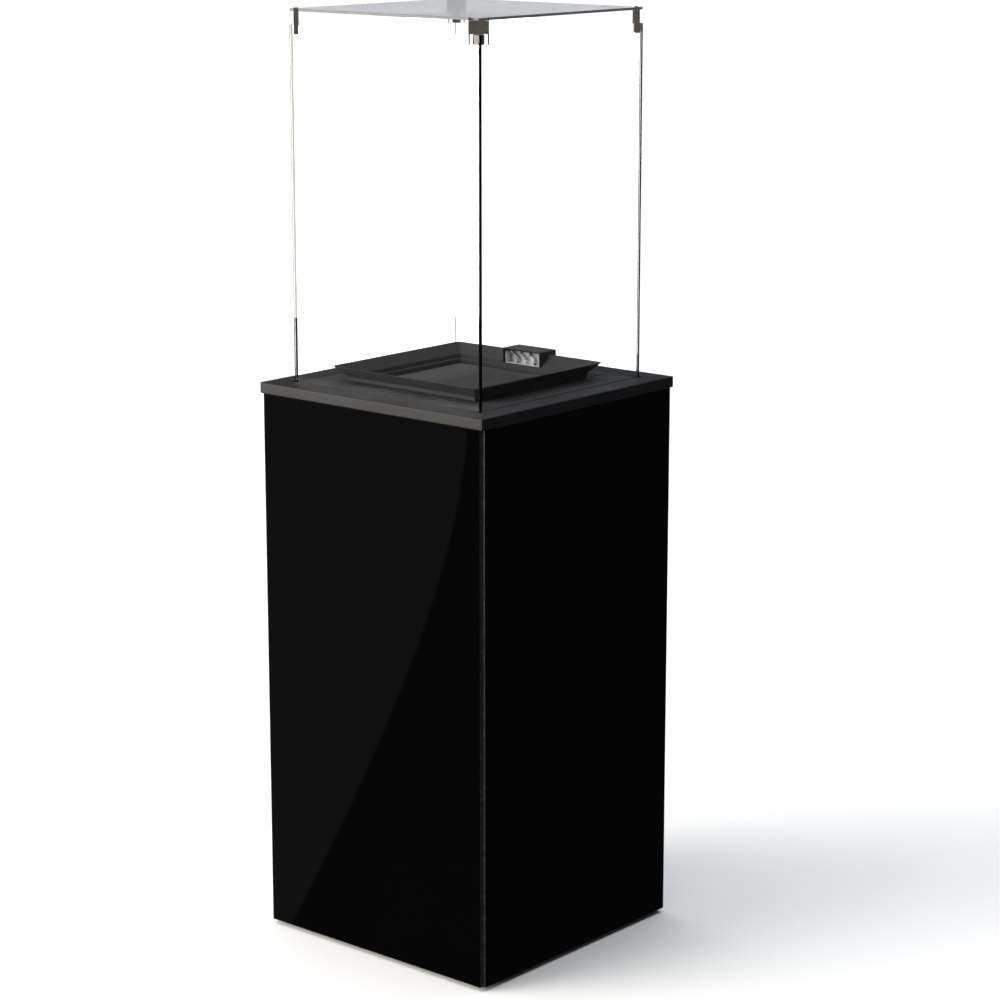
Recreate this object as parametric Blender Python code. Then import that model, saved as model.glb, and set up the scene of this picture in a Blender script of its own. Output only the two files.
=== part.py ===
"""Outdoor gas heater with a glass flame chamber.

A square cabinet for a gas cylinder stands on four rubber feet. It is clad in black glass, its rear
face is a hinged door, and a powder-coated lid closes it. On the lid stand four glass panes, with four
steel brackets on their top corners that carry a glass cover. Between the panes lie a slotted deck, a
square burner tray and a small hood over the pilot. Gas valve, control box and pipes hang on a shelf
under the tray.

Metres, +Z up, origin on the floor under the middle. The front faces -Y and the door faces +Y.
"""

import itertools
import math

import bmesh
import bpy
from mathutils import Matrix, Vector

# Clearance between pieces that touch, and how far a cutting shape runs past the faces that it opens
GAP = 0.0003
OVERCUT = 0.001
LONG_OVERCUT = 0.010

# Cabinet and lid
LID_SIDE = 0.476
LID_TOP = 0.926
LID_DROP = 0.018
LID_SHEET = 0.002
LID_BORDER = 0.0397
LID_RETURN = 0.009
FOOT_HEIGHT = 0.008
FOOT_RADIUS = 0.022
FOOT_STEM_RADIUS = 0.008
FOOT_CHAMFER = 0.002
FOOT_INSET = 0.043
CLADDING_INSET = 0.0015
CLADDING_GLASS = 0.004
CORNER_NOTCH = 0.0055
BACKING_SHEET = 0.0009
POST_SHEET = 0.002
POST_LEG = 0.041
BASE_DEPTH = 0.020
BASE_SHEET = 0.002
RAIL_SHEET = 0.002
RAIL_DROP = 0.032
RAIL_SEAT = 0.002

# Door
DOOR_PAN_DEPTH = 0.018
DOOR_PAN_SHEET = 0.0012
DOOR_PAN_MARGIN = 0.004
DOOR_PAN_PLAY = (0.002, 0.003)
DOOR_GLASS_PLAY = 0.0015
DOOR_STOP_OVERLAP = 0.030
HINGE_LENGTH = 0.060
HINGE_LOW = 0.110
HINGE_TOP_MARGIN = 0.105
HINGE_KNUCKLE_RADIUS = 0.0023
HINGE_BORE_RADIUS = 0.0014
HINGE_PIN_RADIUS = 0.0011
HINGE_LEAF = 0.0012
HINGE_JOGGLE = 0.0009
HINGE_LEAF_INSET = 0.001
LOCK_HEIGHT = 0.500
LOCK_INSET = 0.045
LOCK_BARREL_RADIUS = 0.008
LOCK_FACE_LIP = 0.003
LOCK_BORE_RADIUS = 0.0063
LOCK_PLUG_RADIUS = 0.006
LOCK_CAM = (0.012, 0.002, 0.032)
LOCK_CAM_PLAY = 0.0025
LOCK_SPACER = 0.003
LOCK_NUT_WALL = 0.003
LOCK_NUT_LENGTH = 0.005
KEY_SLOT = (0.0016, 0.002, 0.007)

# Glass flame chamber
PANE_GLASS = 0.005
PANE_HEIGHT = 0.570
PANE_CHANNEL = 0.012
COVER_GAP = 0.021
COVER_GLASS = 0.004
BRACKET_SHEET = 0.002
BRACKET_HALF_WIDTH = 0.0154
BRACKET_DEPTH = 0.008
BRACKET_BACK = 0.0151
BRACKET_DROP = 0.015
BRACKET_RISE = 0.0047
BRACKET_REACH = 0.040

# Deck, tray and burner
DECK_SHEET = 0.002
DECK_FLANGE = 0.0133
SLOT_PITCH = 0.0151
SLOT_WIDTH = 0.0034
SLOT_END_MARGIN = 0.0137
SLOT_LENGTH = 0.037
SLOT_CORNER_MARGIN = 0.056
SLOT_END_STEPS = 4
TRAY_MARGIN = 0.0377
TRAY_BRIM = 0.019
TRAY_BRIM_RISE = 0.0175
TRAY_WALL_RISE = 0.0075
TRAY_LEDGE = 0.005
TRAY_SHEET = 0.0015
TRAY_FLOOR_DROP = 0.0054
BURNER_HALF = (0.045, 0.105)
BURNER_BOX_DEPTH = 0.0375
BURNER_BOX_SHEET = 0.0012
BURNER_BOX_RIM = 0.010
BURNER_PORT = (0.012, 0.002)
BURNER_PORT_PITCH = 0.020
BURNER_PORT_COLUMNS = (-0.022, 0.0, 0.022)

# Pilot
HOOD_HALF_WIDTH = 0.040
HOOD_DEPTH = 0.043
HOOD_OVERHANG = 0.0045
HOOD_TOP = 0.0305
HOOD_SHEET = 0.0012
PILOT_SHELF_LIFT = 0.0055
PILOT_SHELF_FRONT = 0.0035
PILOT_BACK = 0.0162
PILOT_PLATE = 0.0012
PILOT_PLATE_TOP = 0.0245
PILOT_HALF_WIDTH = 0.036
PILOT_ROD_LIFT = 0.0172
PILOT_ROD_SPAN = 0.018
PILOT_RODS = {
    "pilot_burner": (-0.020, 0.0036),
    "thermocouple": (-0.003, 0.0026),
    "spark_electrode": (0.015, 0.0030),
}
PILOT_ROD_DOME = (0, 30, 60, 85)
PILOT_HOLE_SHARE = 0.9
PILOT_OPENING_HALF = (0.032, 0.0155)
PILOT_OPENING_SHIFT = 0.003

# Gas train
SHELF_DROP = 0.126
SHELF_SHEET = 0.0015
SHELF_HALF_DEPTH = 0.070
VALVE_LOW = (-0.060, -0.025)
VALVE_HIGH = (0.020, 0.025)
VALVE_HEIGHT = 0.045
VALVE_KNOB_RADIUS = 0.016
VALVE_KNOB_LENGTH = 0.018
VALVE_KNOB_BEVEL = 0.002
VALVE_KNOB_X = -0.030
VALVE_POINTER = (0.002, 0.002, 0.012)
INLET_LENGTH = 0.032
INLET_LIFT = 0.020
INLET_COLLAR = (0.007, 0.010)
INLET_CORE_RADIUS = 0.0045
INLET_BORE_RADIUS = 0.003
INLET_BARB_RADIUS = 0.0055
INLET_BARB_PITCH = 0.006
INLET_BARB_LENGTH = 0.005
INLET_FIRST_BARB = 0.012
INLET_BARBS = 3
MAIN_PIPE_X = -0.030
MAIN_PIPE_RADIUS = 0.006
MAIN_NUT = (0.010, 0.009)
CONTROL_LOW = (0.060, -0.030)
CONTROL_HIGH = (0.180, 0.030)
CONTROL_HEIGHT = 0.035
BATTERY_COVER = (0.060, 0.0016, 0.024)
BATTERY_COVER_X = 0.105
MODE_SWITCH = (0.008, 0.003, 0.006)
MODE_SWITCH_X = 0.156
LEAD_ROUTES = {
    "pilot_pipe": ("pilot_burner", 0.0020, (-0.006, 0.012)),
    "thermocouple_lead": ("thermocouple", 0.0012, (0.012, 0.012)),
    "ignition_lead": ("spark_electrode", 0.0016, (0.090, 0.000)),
}
LEAD_TURN = 0.020
LEAD_TURN_STEPS = 5

# Lid details
SENSOR_RADIUS = 0.0016
SENSOR_CORNER = (0.044, 0.015)
SENSOR_PROUD = 0.0008
SENSOR_LENGTH = 0.006
SENSOR_DOME = (0, 40, 75)
CORNER_RELIEF = 0.004
DRAIN_RADIUS = 0.0014
DRAIN_OFFSET = 0.0075

# Levels and half widths that follow
LID_HALF = LID_SIDE / 2
LID_UNDERSIDE = LID_TOP - LID_DROP
CLADDING_OUT = LID_HALF - CLADDING_INSET
CLADDING_IN = CLADDING_OUT - CLADDING_GLASS
PANEL_HALF = CLADDING_OUT - CORNER_NOTCH
BACKING_OUT = CLADDING_IN - GAP
BACKING_IN = BACKING_OUT - BACKING_SHEET
POST_OUT = BACKING_IN - GAP
POST_IN = POST_OUT - POST_SHEET
CABINET_TOP = LID_UNDERSIDE - GAP
BASE_TOP = FOOT_HEIGHT + BASE_DEPTH
POST_LOW = BASE_TOP + GAP
PANE_OUT = LID_HALF - LID_BORDER - GAP
PANE_IN = PANE_OUT - PANE_GLASS
PANE_FOOT = LID_TOP - PANE_CHANNEL + GAP
PANE_TOP = LID_TOP + PANE_HEIGHT
COVER_LOW = PANE_TOP + COVER_GAP
COVER_TOP = COVER_LOW + COVER_GLASS
DECK_EDGE = PANE_IN - GAP
FLANGE_TOP = LID_TOP - PANE_CHANNEL
RAIL_TOP = FLANGE_TOP - DECK_SHEET - GAP
RAIL_LOW = RAIL_TOP - RAIL_DROP
RAIL_OUT = POST_IN - GAP
RAIL_IN = PANE_OUT - RAIL_SEAT
DOOR_FACE = CLADDING_IN - GAP
DOOR_BACK = DOOR_FACE - DOOR_PAN_DEPTH
DOOR_STOP_OUT = DOOR_BACK - 2 * GAP
DOOR_STOP_IN = DOOR_STOP_OUT - POST_SHEET
DOOR_HALF = POST_IN - DOOR_PAN_MARGIN
DOOR_PAN_LOW = BASE_TOP + DOOR_PAN_PLAY[0]
DOOR_PAN_TOP = LID_UNDERSIDE - DOOR_PAN_PLAY[1]
HINGE_AXIS = CLADDING_OUT - CORNER_NOTCH / 2
TRAY_RIM = PANE_IN - TRAY_MARGIN
TRAY_WALL = TRAY_RIM - TRAY_BRIM
TRAY_NECK = TRAY_WALL - TRAY_LEDGE
TRAY_RIM_TOP = LID_TOP + TRAY_WALL_RISE + TRAY_BRIM_RISE
TRAY_FLOOR = LID_TOP - TRAY_FLOOR_DROP
TRAY_BOTTOM = TRAY_FLOOR - TRAY_SHEET
HOOD_FRONT = TRAY_WALL - TRAY_SHEET - HOOD_OVERHANG
HOOD_BACK = HOOD_FRONT + HOOD_DEPTH
SHELF_TOP = LID_TOP - SHELF_DROP
VALVE_TOP = SHELF_TOP + GAP + VALVE_HEIGHT
CONTROL_TOP = SHELF_TOP + GAP + CONTROL_HEIGHT
BURNER_BOX_TOP = TRAY_BOTTOM - GAP
BURNER_BOX_LOW = BURNER_BOX_TOP - BURNER_BOX_DEPTH
PILOT_Y = HOOD_FRONT + PILOT_BACK
PILOT_SHELF = LID_TOP + PILOT_SHELF_LIFT

CORNERS = {"front_left": (-1, -1), "front_right": (1, -1), "rear_left": (-1, 1), "rear_right": (1, 1)}


# ---------------------------------------------------------------- materials


def material(name, colour, roughness, metallic=0.0, alpha=1.0):
    """A plain Principled surface."""
    made = bpy.data.materials.new(name)
    made.use_nodes = True
    shader = made.node_tree.nodes["Principled BSDF"]
    shader.inputs["Base Color"].default_value = (*colour, 1.0)
    shader.inputs["Roughness"].default_value = roughness
    shader.inputs["Metallic"].default_value = metallic
    shader.inputs["Alpha"].default_value = alpha
    made.diffuse_color = (*colour, alpha)
    return made


def make_materials():
    return {
        "black_glass": material("black_glass", (0.004, 0.004, 0.004), 0.03),
        "clear_glass": material("clear_glass", (0.93, 0.97, 0.96), 0.02, alpha=0.25),
        "tinted_glass": material("tinted_glass", (0.55, 0.58, 0.63), 0.02, alpha=0.45),
        "lid_paint": material("lid_paint", (0.055, 0.055, 0.060), 0.45, 0.3),
        "tray_paint": material("tray_paint", (0.045, 0.044, 0.045), 0.55, 0.3),
        "frame_steel": material("frame_steel", (0.10, 0.10, 0.10), 0.5, 0.6),
        "galvanised": material("galvanised", (0.55, 0.56, 0.58), 0.4, 1.0),
        "bright_steel": material("bright_steel", (0.42, 0.40, 0.37), 0.22, 1.0),
        "brass": material("brass", (0.72, 0.55, 0.25), 0.3, 1.0),
        "copper": material("copper", (0.72, 0.42, 0.28), 0.3, 1.0),
        "black_plastic": material("black_plastic", (0.02, 0.02, 0.02), 0.45),
        "white_ceramic": material("white_ceramic", (0.85, 0.84, 0.80), 0.35),
        "rubber": material("rubber", (0.02, 0.02, 0.02), 0.8),
    }


# ---------------------------------------------------------------- shapes


def finish(name, mesh, surface, parent=None, origin=(0, 0, 0)):
    """Links a mesh given in world coordinates, with its origin at a point and an optional parent empty."""
    place = Vector(origin)
    mesh.transform(Matrix.Translation(-place))
    mesh.materials.append(surface)
    made = bpy.data.objects.new(name, mesh)
    bpy.context.scene.collection.objects.link(made)
    made.location = place
    if parent is not None:
        made.parent = parent
        made.location = place - parent.location
    return made


def mesh_of(name, points, faces):
    """A mesh from points and faces, with its normals made to face outwards."""
    shell = bmesh.new()
    verts = [shell.verts.new(p) for p in points]
    for face in faces:
        shell.faces.new([verts[i] for i in face])
    bmesh.ops.recalc_face_normals(shell, faces=shell.faces)
    mesh = bpy.data.meshes.new(name)
    shell.to_mesh(mesh)
    shell.free()
    return mesh


def block_mesh(name, low, high):
    """A box between two corners."""
    return boxes_mesh(name, [(low, high)])


def boxes_mesh(name, boxes):
    """Several separate boxes in one mesh, each given by its lowest and highest corners."""
    points, faces = [], []
    for low, high in boxes:
        start = len(points)
        points += itertools.product(*zip(low, high))
        sides = ((0, 1, 3, 2), (4, 6, 7, 5), (0, 4, 5, 1), (2, 3, 7, 6), (0, 2, 6, 4), (1, 5, 7, 3))
        faces += [[start + i for i in side] for side in sides]
    return mesh_of(name, points, faces)


def place(axis, along, a, b):
    """A point from its distance along an axis and its places on the other two, in X, Y, Z order."""
    return {"X": (along, a, b), "Y": (a, along, b), "Z": (a, b, along)}[axis]


def prism_mesh(name, outline, low, high, axis="Z"):
    """A closed outline extruded along an axis. Its two values are the other two axes, in X, Y, Z order."""
    count = len(outline)
    points = [place(axis, end, a, b) for end in (low, high) for a, b in outline]
    faces = [[i, (i + 1) % count, count + (i + 1) % count, count + i] for i in range(count)]
    faces += [list(range(count))[::-1], list(range(count, 2 * count))]
    return mesh_of(name, points, faces)


def slots_mesh(name, slots, low, high):
    """Several upright slots with round ends in one mesh, each given by its middle, its length and its width.

    A slot runs along X or along Y, as its fourth value says."""
    points, faces = [], []
    for (x, y), length, width, axis in slots:
        start = len(points)
        straight = (length - width) / 2
        rim = []
        for end in (1, -1):
            for k in range(SLOT_END_STEPS + 1):
                turn = math.pi * (k / SLOT_END_STEPS - 0.5)
                along = end * (straight + width / 2 * math.cos(turn))
                across = end * width / 2 * math.sin(turn)
                rim.append((x + along, y + across) if axis == "X" else (x + across, y + along))
        count = len(rim)
        points += [(a, b, level) for level in (low, high) for a, b in rim]
        for k in range(count):
            after = (k + 1) % count
            faces.append([start + k, start + after, start + count + after, start + count + k])
        faces.append([start + k for k in range(count)])
        faces.append([start + count + k for k in range(count)])
    return mesh_of(name, points, faces)


def ring_mesh(name, profile, capped=False):
    """A profile of (half width, height) points carried round a square with mitred corners.

    A closed ring joins its last point to its first. A capped one is a pan: its first and last points
    are closed by flat square plates instead."""
    points = [(sx * r, sy * r, z) for r, z in profile for sx, sy in ((1, 1), (-1, 1), (-1, -1), (1, -1))]
    count = len(profile)
    faces = []
    for step in range(count - 1 if capped else count):
        here, there = 4 * step, 4 * ((step + 1) % count)
        faces += [[here + k, here + (k + 1) % 4, there + (k + 1) % 4, there + k] for k in range(4)]
    if capped:
        faces += [[0, 1, 2, 3], [4 * (count - 1) + k for k in range(4)]]
    return mesh_of(name, points, faces)


def turned_mesh(name, profile, sides, centre, axis="Z", ring=False):
    """A profile of (radius, distance along the axis) points turned round an axis.

    A ring joins its last point to its first, and any other profile is closed by flat discs."""
    middle = Vector(centre)
    points = []
    for radius, along in profile:
        for k in range(sides):
            turn = 2 * math.pi * (k + 0.5) / sides
            spoke = (radius * math.cos(turn), radius * math.sin(turn))
            points.append(Vector(place(axis, along, *spoke)) + middle)
    count = len(profile)
    faces = []
    for step in range(count if ring else count - 1):
        here, there = sides * step, sides * ((step + 1) % count)
        for k in range(sides):
            after = (k + 1) % sides
            faces.append([here + k, here + after, there + after, there + k])
    if not ring:
        faces += [list(range(sides)), [sides * (count - 1) + k for k in range(sides)]]
    return mesh_of(name, points, faces)


def helper(name, mesh):
    """A cutter or a joining shape, which is not a piece."""
    made = bpy.data.objects.new(name, mesh)
    bpy.context.scene.collection.objects.link(made)
    made.hide_render = True
    made.display_type = "WIRE"
    return made


def boolean(target, mesh, operation="DIFFERENCE"):
    """Cuts a shape from a piece, or joins it on, with the shape given in world coordinates."""
    tool = helper(f"{target.name}_{operation.lower()}_{len(target.modifiers)}", mesh)
    modifier = target.modifiers.new(tool.name, "BOOLEAN")
    modifier.operation = operation
    modifier.solver = "EXACT"
    modifier.object = tool


def smooth(target, angle=40):
    """Round pieces shade smoothly, with their edges kept sharp."""
    target.data.shade_smooth()
    target.data.set_sharp_from_angle(angle=math.radians(angle))


# ---------------------------------------------------------------- cabinet


def make_base(mats):
    """An upturned folded tray, which carries the cylinder, with four rubber feet under it."""
    base = finish(
        "base_plate",
        block_mesh("base_plate", (-POST_OUT, -POST_OUT, FOOT_HEIGHT), (POST_OUT, POST_OUT, BASE_TOP)),
        mats["frame_steel"],
    )
    hollow = POST_OUT - BASE_SHEET
    floor = FOOT_HEIGHT - BASE_SHEET
    hollow_top = BASE_TOP - BASE_SHEET
    boolean(base, block_mesh("base_hollow", (-hollow, -hollow, floor), (hollow, hollow, hollow_top)))
    reach = POST_OUT - FOOT_INSET
    profile = [
        (FOOT_RADIUS - FOOT_CHAMFER, 0),
        (FOOT_RADIUS, FOOT_CHAMFER),
        (FOOT_RADIUS, FOOT_HEIGHT - GAP),
        (FOOT_STEM_RADIUS, FOOT_HEIGHT - GAP),
        (FOOT_STEM_RADIUS, BASE_TOP - BASE_SHEET - GAP),
    ]
    for corner, (sx, sy) in CORNERS.items():
        name = f"foot_{corner}"
        foot = finish(name, turned_mesh(name, profile, 16, (sx * reach, sy * reach, 0)), mats["rubber"])
        smooth(foot)


def make_posts(mats):
    """Folded angle posts in the corners. The rear pair is set back for the door and stops it."""
    near = POST_OUT - POST_LEG
    stop_end = DOOR_HALF - DOOR_STOP_OVERLAP
    front = [
        (POST_OUT, near),
        (POST_OUT, POST_OUT),
        (near, POST_OUT),
        (near, POST_IN),
        (POST_IN, POST_IN),
        (POST_IN, near),
    ]
    rear = [
        (POST_OUT, near),
        (POST_OUT, POST_OUT),
        (POST_IN, POST_OUT),
        (POST_IN, DOOR_STOP_OUT),
        (stop_end, DOOR_STOP_OUT),
        (stop_end, DOOR_STOP_IN),
        (POST_IN, DOOR_STOP_IN),
        (POST_IN, near),
    ]
    for corner, (sx, sy) in CORNERS.items():
        outline = [(sx * a, sy * b) for a, b in (front if sy < 0 else rear)]
        name = f"post_{corner}"
        finish(name, prism_mesh(name, outline, POST_LOW, CABINET_TOP), mats["frame_steel"])


def make_rails(mats):
    """Four angle rails between the posts, which carry the deck and the lid."""

    def section(inner, outer, sign):
        return [
            (sign * inner, RAIL_TOP),
            (sign * outer, RAIL_TOP),
            (sign * outer, RAIL_LOW),
            (sign * (outer - RAIL_SHEET), RAIL_LOW),
            (sign * (outer - RAIL_SHEET), RAIL_TOP - RAIL_SHEET),
            (sign * inner, RAIL_TOP - RAIL_SHEET),
        ]

    rear_out = DOOR_STOP_IN - GAP
    short = RAIL_IN - GAP
    rails = {
        "rail_front": (section(RAIL_IN, RAIL_OUT, -1), RAIL_OUT, "X"),
        "rail_rear": (section(RAIL_IN, rear_out, 1), RAIL_OUT, "X"),
        "rail_left": (section(RAIL_IN, RAIL_OUT, -1), short, "Y"),
        "rail_right": (section(RAIL_IN, RAIL_OUT, 1), short, "Y"),
    }
    for name, (outline, reach, axis) in rails.items():
        finish(name, prism_mesh(name, outline, -reach, reach, axis), mats["frame_steel"])


def make_cladding(mats):
    """Three thin backing sheets and the black glass panels bonded on them."""
    sides = {"front": (0, -1), "left": (-1, 0), "right": (1, 0)}
    for side, (sx, sy) in sides.items():
        for name, surface, inner, outer, reach in (
            (f"{side}_backing_sheet", "frame_steel", BACKING_IN, BACKING_OUT, POST_OUT),
            (f"{side}_glass_panel", "black_glass", CLADDING_IN, CLADDING_OUT, PANEL_HALF),
        ):
            ends = [(sx * inner, sy * inner), (sx * outer, sy * outer)]
            spread = (reach * abs(sy), reach * abs(sx))
            low = [min(a, b) - s for a, b, s in zip(*ends, spread)]
            high = [max(a, b) + s for a, b, s in zip(*ends, spread)]
            finish(name, block_mesh(name, (*low, FOOT_HEIGHT), (*high, CABINET_TOP)), mats[surface])


def make_lid(mats):
    """A folded frame: top face, edge, and a return that rests on the cabinet."""
    inner = LID_HALF - LID_BORDER
    face = LID_HALF - LID_SHEET
    profile = [
        (inner, LID_TOP),
        (LID_HALF, LID_TOP),
        (LID_HALF, LID_UNDERSIDE),
        (LID_HALF - LID_RETURN, LID_UNDERSIDE),
        (LID_HALF - LID_RETURN, LID_UNDERSIDE + LID_SHEET),
        (face, LID_UNDERSIDE + LID_SHEET),
        (face, LID_TOP - LID_SHEET),
        (inner, LID_TOP - LID_SHEET),
    ]
    lid = finish("top_lid", ring_mesh("top_lid", profile), mats["lid_paint"])
    low, high = LID_TOP - 2 * LID_SHEET, LID_TOP + LID_SHEET
    reliefs = []
    for sx, sy in CORNERS.values():
        x, y = sx * inner, sy * inner
        near = (x - CORNER_RELIEF, y - CORNER_RELIEF, low)
        reliefs.append((near, (x + CORNER_RELIEF, y + CORNER_RELIEF, high)))
    boolean(lid, boxes_mesh("corner_reliefs", reliefs))
    hole = [(DRAIN_RADIUS, low), (DRAIN_RADIUS, high)]
    for sx, sy in CORNERS.values():
        reach = inner + DRAIN_OFFSET
        boolean(lid, turned_mesh("drain", hole, 12, (sx * reach, sy * reach, 0)))
    x, y = -LID_HALF + SENSOR_CORNER[0], -LID_HALF + SENSOR_CORNER[1]
    bore = SENSOR_RADIUS + GAP
    boolean(lid, turned_mesh("sensor_hole", [(bore, low), (bore, high)], 16, (x, y, 0)))
    dome = [(SENSOR_RADIUS, LID_TOP - SENSOR_LENGTH)]
    for rise in SENSOR_DOME:
        a = math.radians(rise)
        dome.append((SENSOR_RADIUS * math.cos(a), LID_TOP + SENSOR_PROUD * math.sin(a)))
    lens = finish("sensor_lens", turned_mesh("sensor_lens", dome, 12, (x, y, 0)), mats["black_plastic"])
    smooth(lens)


# ---------------------------------------------------------------- door


def make_door(mats):
    """A folded pan with a black glass face, hung on two lift-off hinges in the rear left corner notch."""
    hinge = bpy.data.objects.new("door_axis", None)
    bpy.context.scene.collection.objects.link(hinge)
    hinge.location = (-HINGE_AXIS, HINGE_AXIS, LID_UNDERSIDE / 2)
    pan = finish(
        "door_pan",
        block_mesh("door_pan", (-DOOR_HALF, DOOR_BACK, DOOR_PAN_LOW), (DOOR_HALF, DOOR_FACE, DOOR_PAN_TOP)),
        mats["frame_steel"],
        hinge,
        hinge.location,
    )
    inside = DOOR_HALF - DOOR_PAN_SHEET
    low, high = DOOR_PAN_LOW + DOOR_PAN_SHEET, DOOR_PAN_TOP - DOOR_PAN_SHEET
    hollow = ((-inside, DOOR_BACK - LONG_OVERCUT, low), (inside, DOOR_FACE - DOOR_PAN_SHEET, high))
    boolean(pan, block_mesh("pan_hollow", *hollow))
    glass = finish(
        "door_glass_panel",
        block_mesh(
            "door_glass_panel",
            (-PANEL_HALF, CLADDING_IN, FOOT_HEIGHT + DOOR_GLASS_PLAY),
            (PANEL_HALF, CLADDING_OUT, CABINET_TOP - DOOR_GLASS_PLAY + GAP),
        ),
        mats["black_glass"],
        hinge,
        hinge.location,
    )
    lock_x = DOOR_HALF - LOCK_INSET
    bore = LOCK_BARREL_RADIUS + GAP
    for piece in (pan, glass):
        hole = [(bore, DOOR_BACK - LONG_OVERCUT), (bore, CLADDING_OUT + LONG_OVERCUT)]
        boolean(piece, turned_mesh("lock_hole", hole, 24, (lock_x, 0, LOCK_HEIGHT), "Y"))
    make_hinges(mats, hinge)
    make_lock(mats, hinge, lock_x)


def make_hinges(mats, hinge):
    """Lift-off hinges. The lower half, with the pin in it, stays on the post. The upper half is the door's."""
    half = (HINGE_LENGTH - GAP) / 2
    joggle_low = POST_OUT + GAP
    joggle_high = joggle_low + HINGE_JOGGLE
    leaf_back = DOOR_BACK + HINGE_LEAF_INSET
    halves = {
        "fixed_leaf": (POST_IN - GAP - HINGE_LEAF, 0, None),
        "door_leaf": (DOOR_HALF + GAP, half + GAP, hinge),
    }
    for which, low in (("lower", HINGE_LOW), ("upper", LID_UNDERSIDE - HINGE_TOP_MARGIN - HINGE_LENGTH)):
        for part, (leaf_x, lift, parent) in halves.items():
            name = f"{which}_hinge_{part}"
            bottom, top = low + lift, low + lift + half
            outline = [
                (-leaf_x, leaf_back),
                (-leaf_x - HINGE_LEAF, leaf_back),
                (-leaf_x - HINGE_LEAF, joggle_low),
                (-HINGE_AXIS, joggle_low),
                (-HINGE_AXIS, joggle_high),
                (-leaf_x, joggle_high),
            ]
            origin = hinge.location if parent else (0, 0, 0)
            mesh = prism_mesh(name, outline, bottom, top)
            leaf = finish(name, mesh, mats["bright_steel"], parent, origin)
            knuckle = [(HINGE_KNUCKLE_RADIUS, bottom), (HINGE_KNUCKLE_RADIUS, top)]
            boolean(leaf, turned_mesh("knuckle", knuckle, 16, (-HINGE_AXIS, HINGE_AXIS, 0)), "UNION")
            if parent:
                bore = [(HINGE_BORE_RADIUS, bottom - OVERCUT), (HINGE_BORE_RADIUS, top + OVERCUT)]
                boolean(leaf, turned_mesh("bore", bore, 16, (-HINGE_AXIS, HINGE_AXIS, 0)))
            else:
                pin = [(HINGE_PIN_RADIUS, top - half / 2), (HINGE_PIN_RADIUS, low + HINGE_LENGTH)]
                boolean(leaf, turned_mesh("pin", pin, 16, (-HINGE_AXIS, HINGE_AXIS, 0)), "UNION")


def make_lock(mats, hinge, lock_x):
    """A flush cam lock: housing and nut stay in the door, and the plug turns the cam behind the post."""
    centre = (lock_x, 0, LOCK_HEIGHT)
    cam_width, cam_thick, cam_length = LOCK_CAM
    cam_face = DOOR_STOP_IN - LOCK_CAM_PLAY
    face = CLADDING_OUT + GAP
    housing = [
        (LOCK_BORE_RADIUS, cam_face + LOCK_SPACER),
        (LOCK_BARREL_RADIUS, cam_face + LOCK_SPACER),
        (LOCK_BARREL_RADIUS, face),
        (LOCK_BARREL_RADIUS + LOCK_FACE_LIP, face),
        (LOCK_BARREL_RADIUS + LOCK_FACE_LIP, LID_HALF),
        (LOCK_BORE_RADIUS, LID_HALF),
    ]
    mesh = turned_mesh("lock_housing", housing, 24, centre, "Y", ring=True)
    smooth(finish("lock_housing", mesh, mats["bright_steel"], hinge, centre))
    nut_radius = LOCK_BARREL_RADIUS + LOCK_NUT_WALL
    sheet_back = DOOR_FACE - DOOR_PAN_SHEET - GAP
    nut_back = sheet_back - LOCK_NUT_LENGTH
    nut_profile = [(nut_radius, nut_back), (nut_radius, sheet_back)]
    mesh = turned_mesh("lock_nut", nut_profile, 6, centre, "Y")
    nut = finish("lock_nut", mesh, mats["bright_steel"], hinge, centre)
    bore = LOCK_BARREL_RADIUS + GAP
    hole = [(bore, nut_back - OVERCUT), (bore, sheet_back + OVERCUT)]
    boolean(nut, turned_mesh("nut_bore", hole, 24, centre, "Y"))
    turn = bpy.data.objects.new("lock_axis", None)
    bpy.context.scene.collection.objects.link(turn)
    turn.parent = hinge
    turn.location = Vector((lock_x, CLADDING_OUT, LOCK_HEIGHT)) - hinge.location
    plug_face = LID_HALF - GAP
    plug_profile = [(LOCK_PLUG_RADIUS, cam_face + GAP), (LOCK_PLUG_RADIUS, plug_face)]
    world = Vector((lock_x, CLADDING_OUT, LOCK_HEIGHT))
    mesh = turned_mesh("lock_plug", plug_profile, 20, centre, "Y")
    plug = finish("lock_plug", mesh, mats["bright_steel"])
    wide, deep, tall = KEY_SLOT
    slot_low = (lock_x - wide / 2, plug_face - deep, LOCK_HEIGHT - tall / 2)
    slot_high = (lock_x + wide / 2, plug_face + OVERCUT, LOCK_HEIGHT + tall / 2)
    boolean(plug, block_mesh("key_slot", slot_low, slot_high))
    cam_low = (lock_x - cam_width / 2, cam_face - cam_thick, LOCK_HEIGHT - cam_length)
    cam_high = (lock_x + cam_width / 2, cam_face, LOCK_HEIGHT + cam_width / 2)
    cam = finish("lock_cam", block_mesh("lock_cam", cam_low, cam_high), mats["galvanised"])
    for piece in (plug, cam):
        piece.data.transform(Matrix.Translation(-world))
        piece.parent = turn
        piece.location = (0, 0, 0)


# ---------------------------------------------------------------- glass chamber


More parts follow.
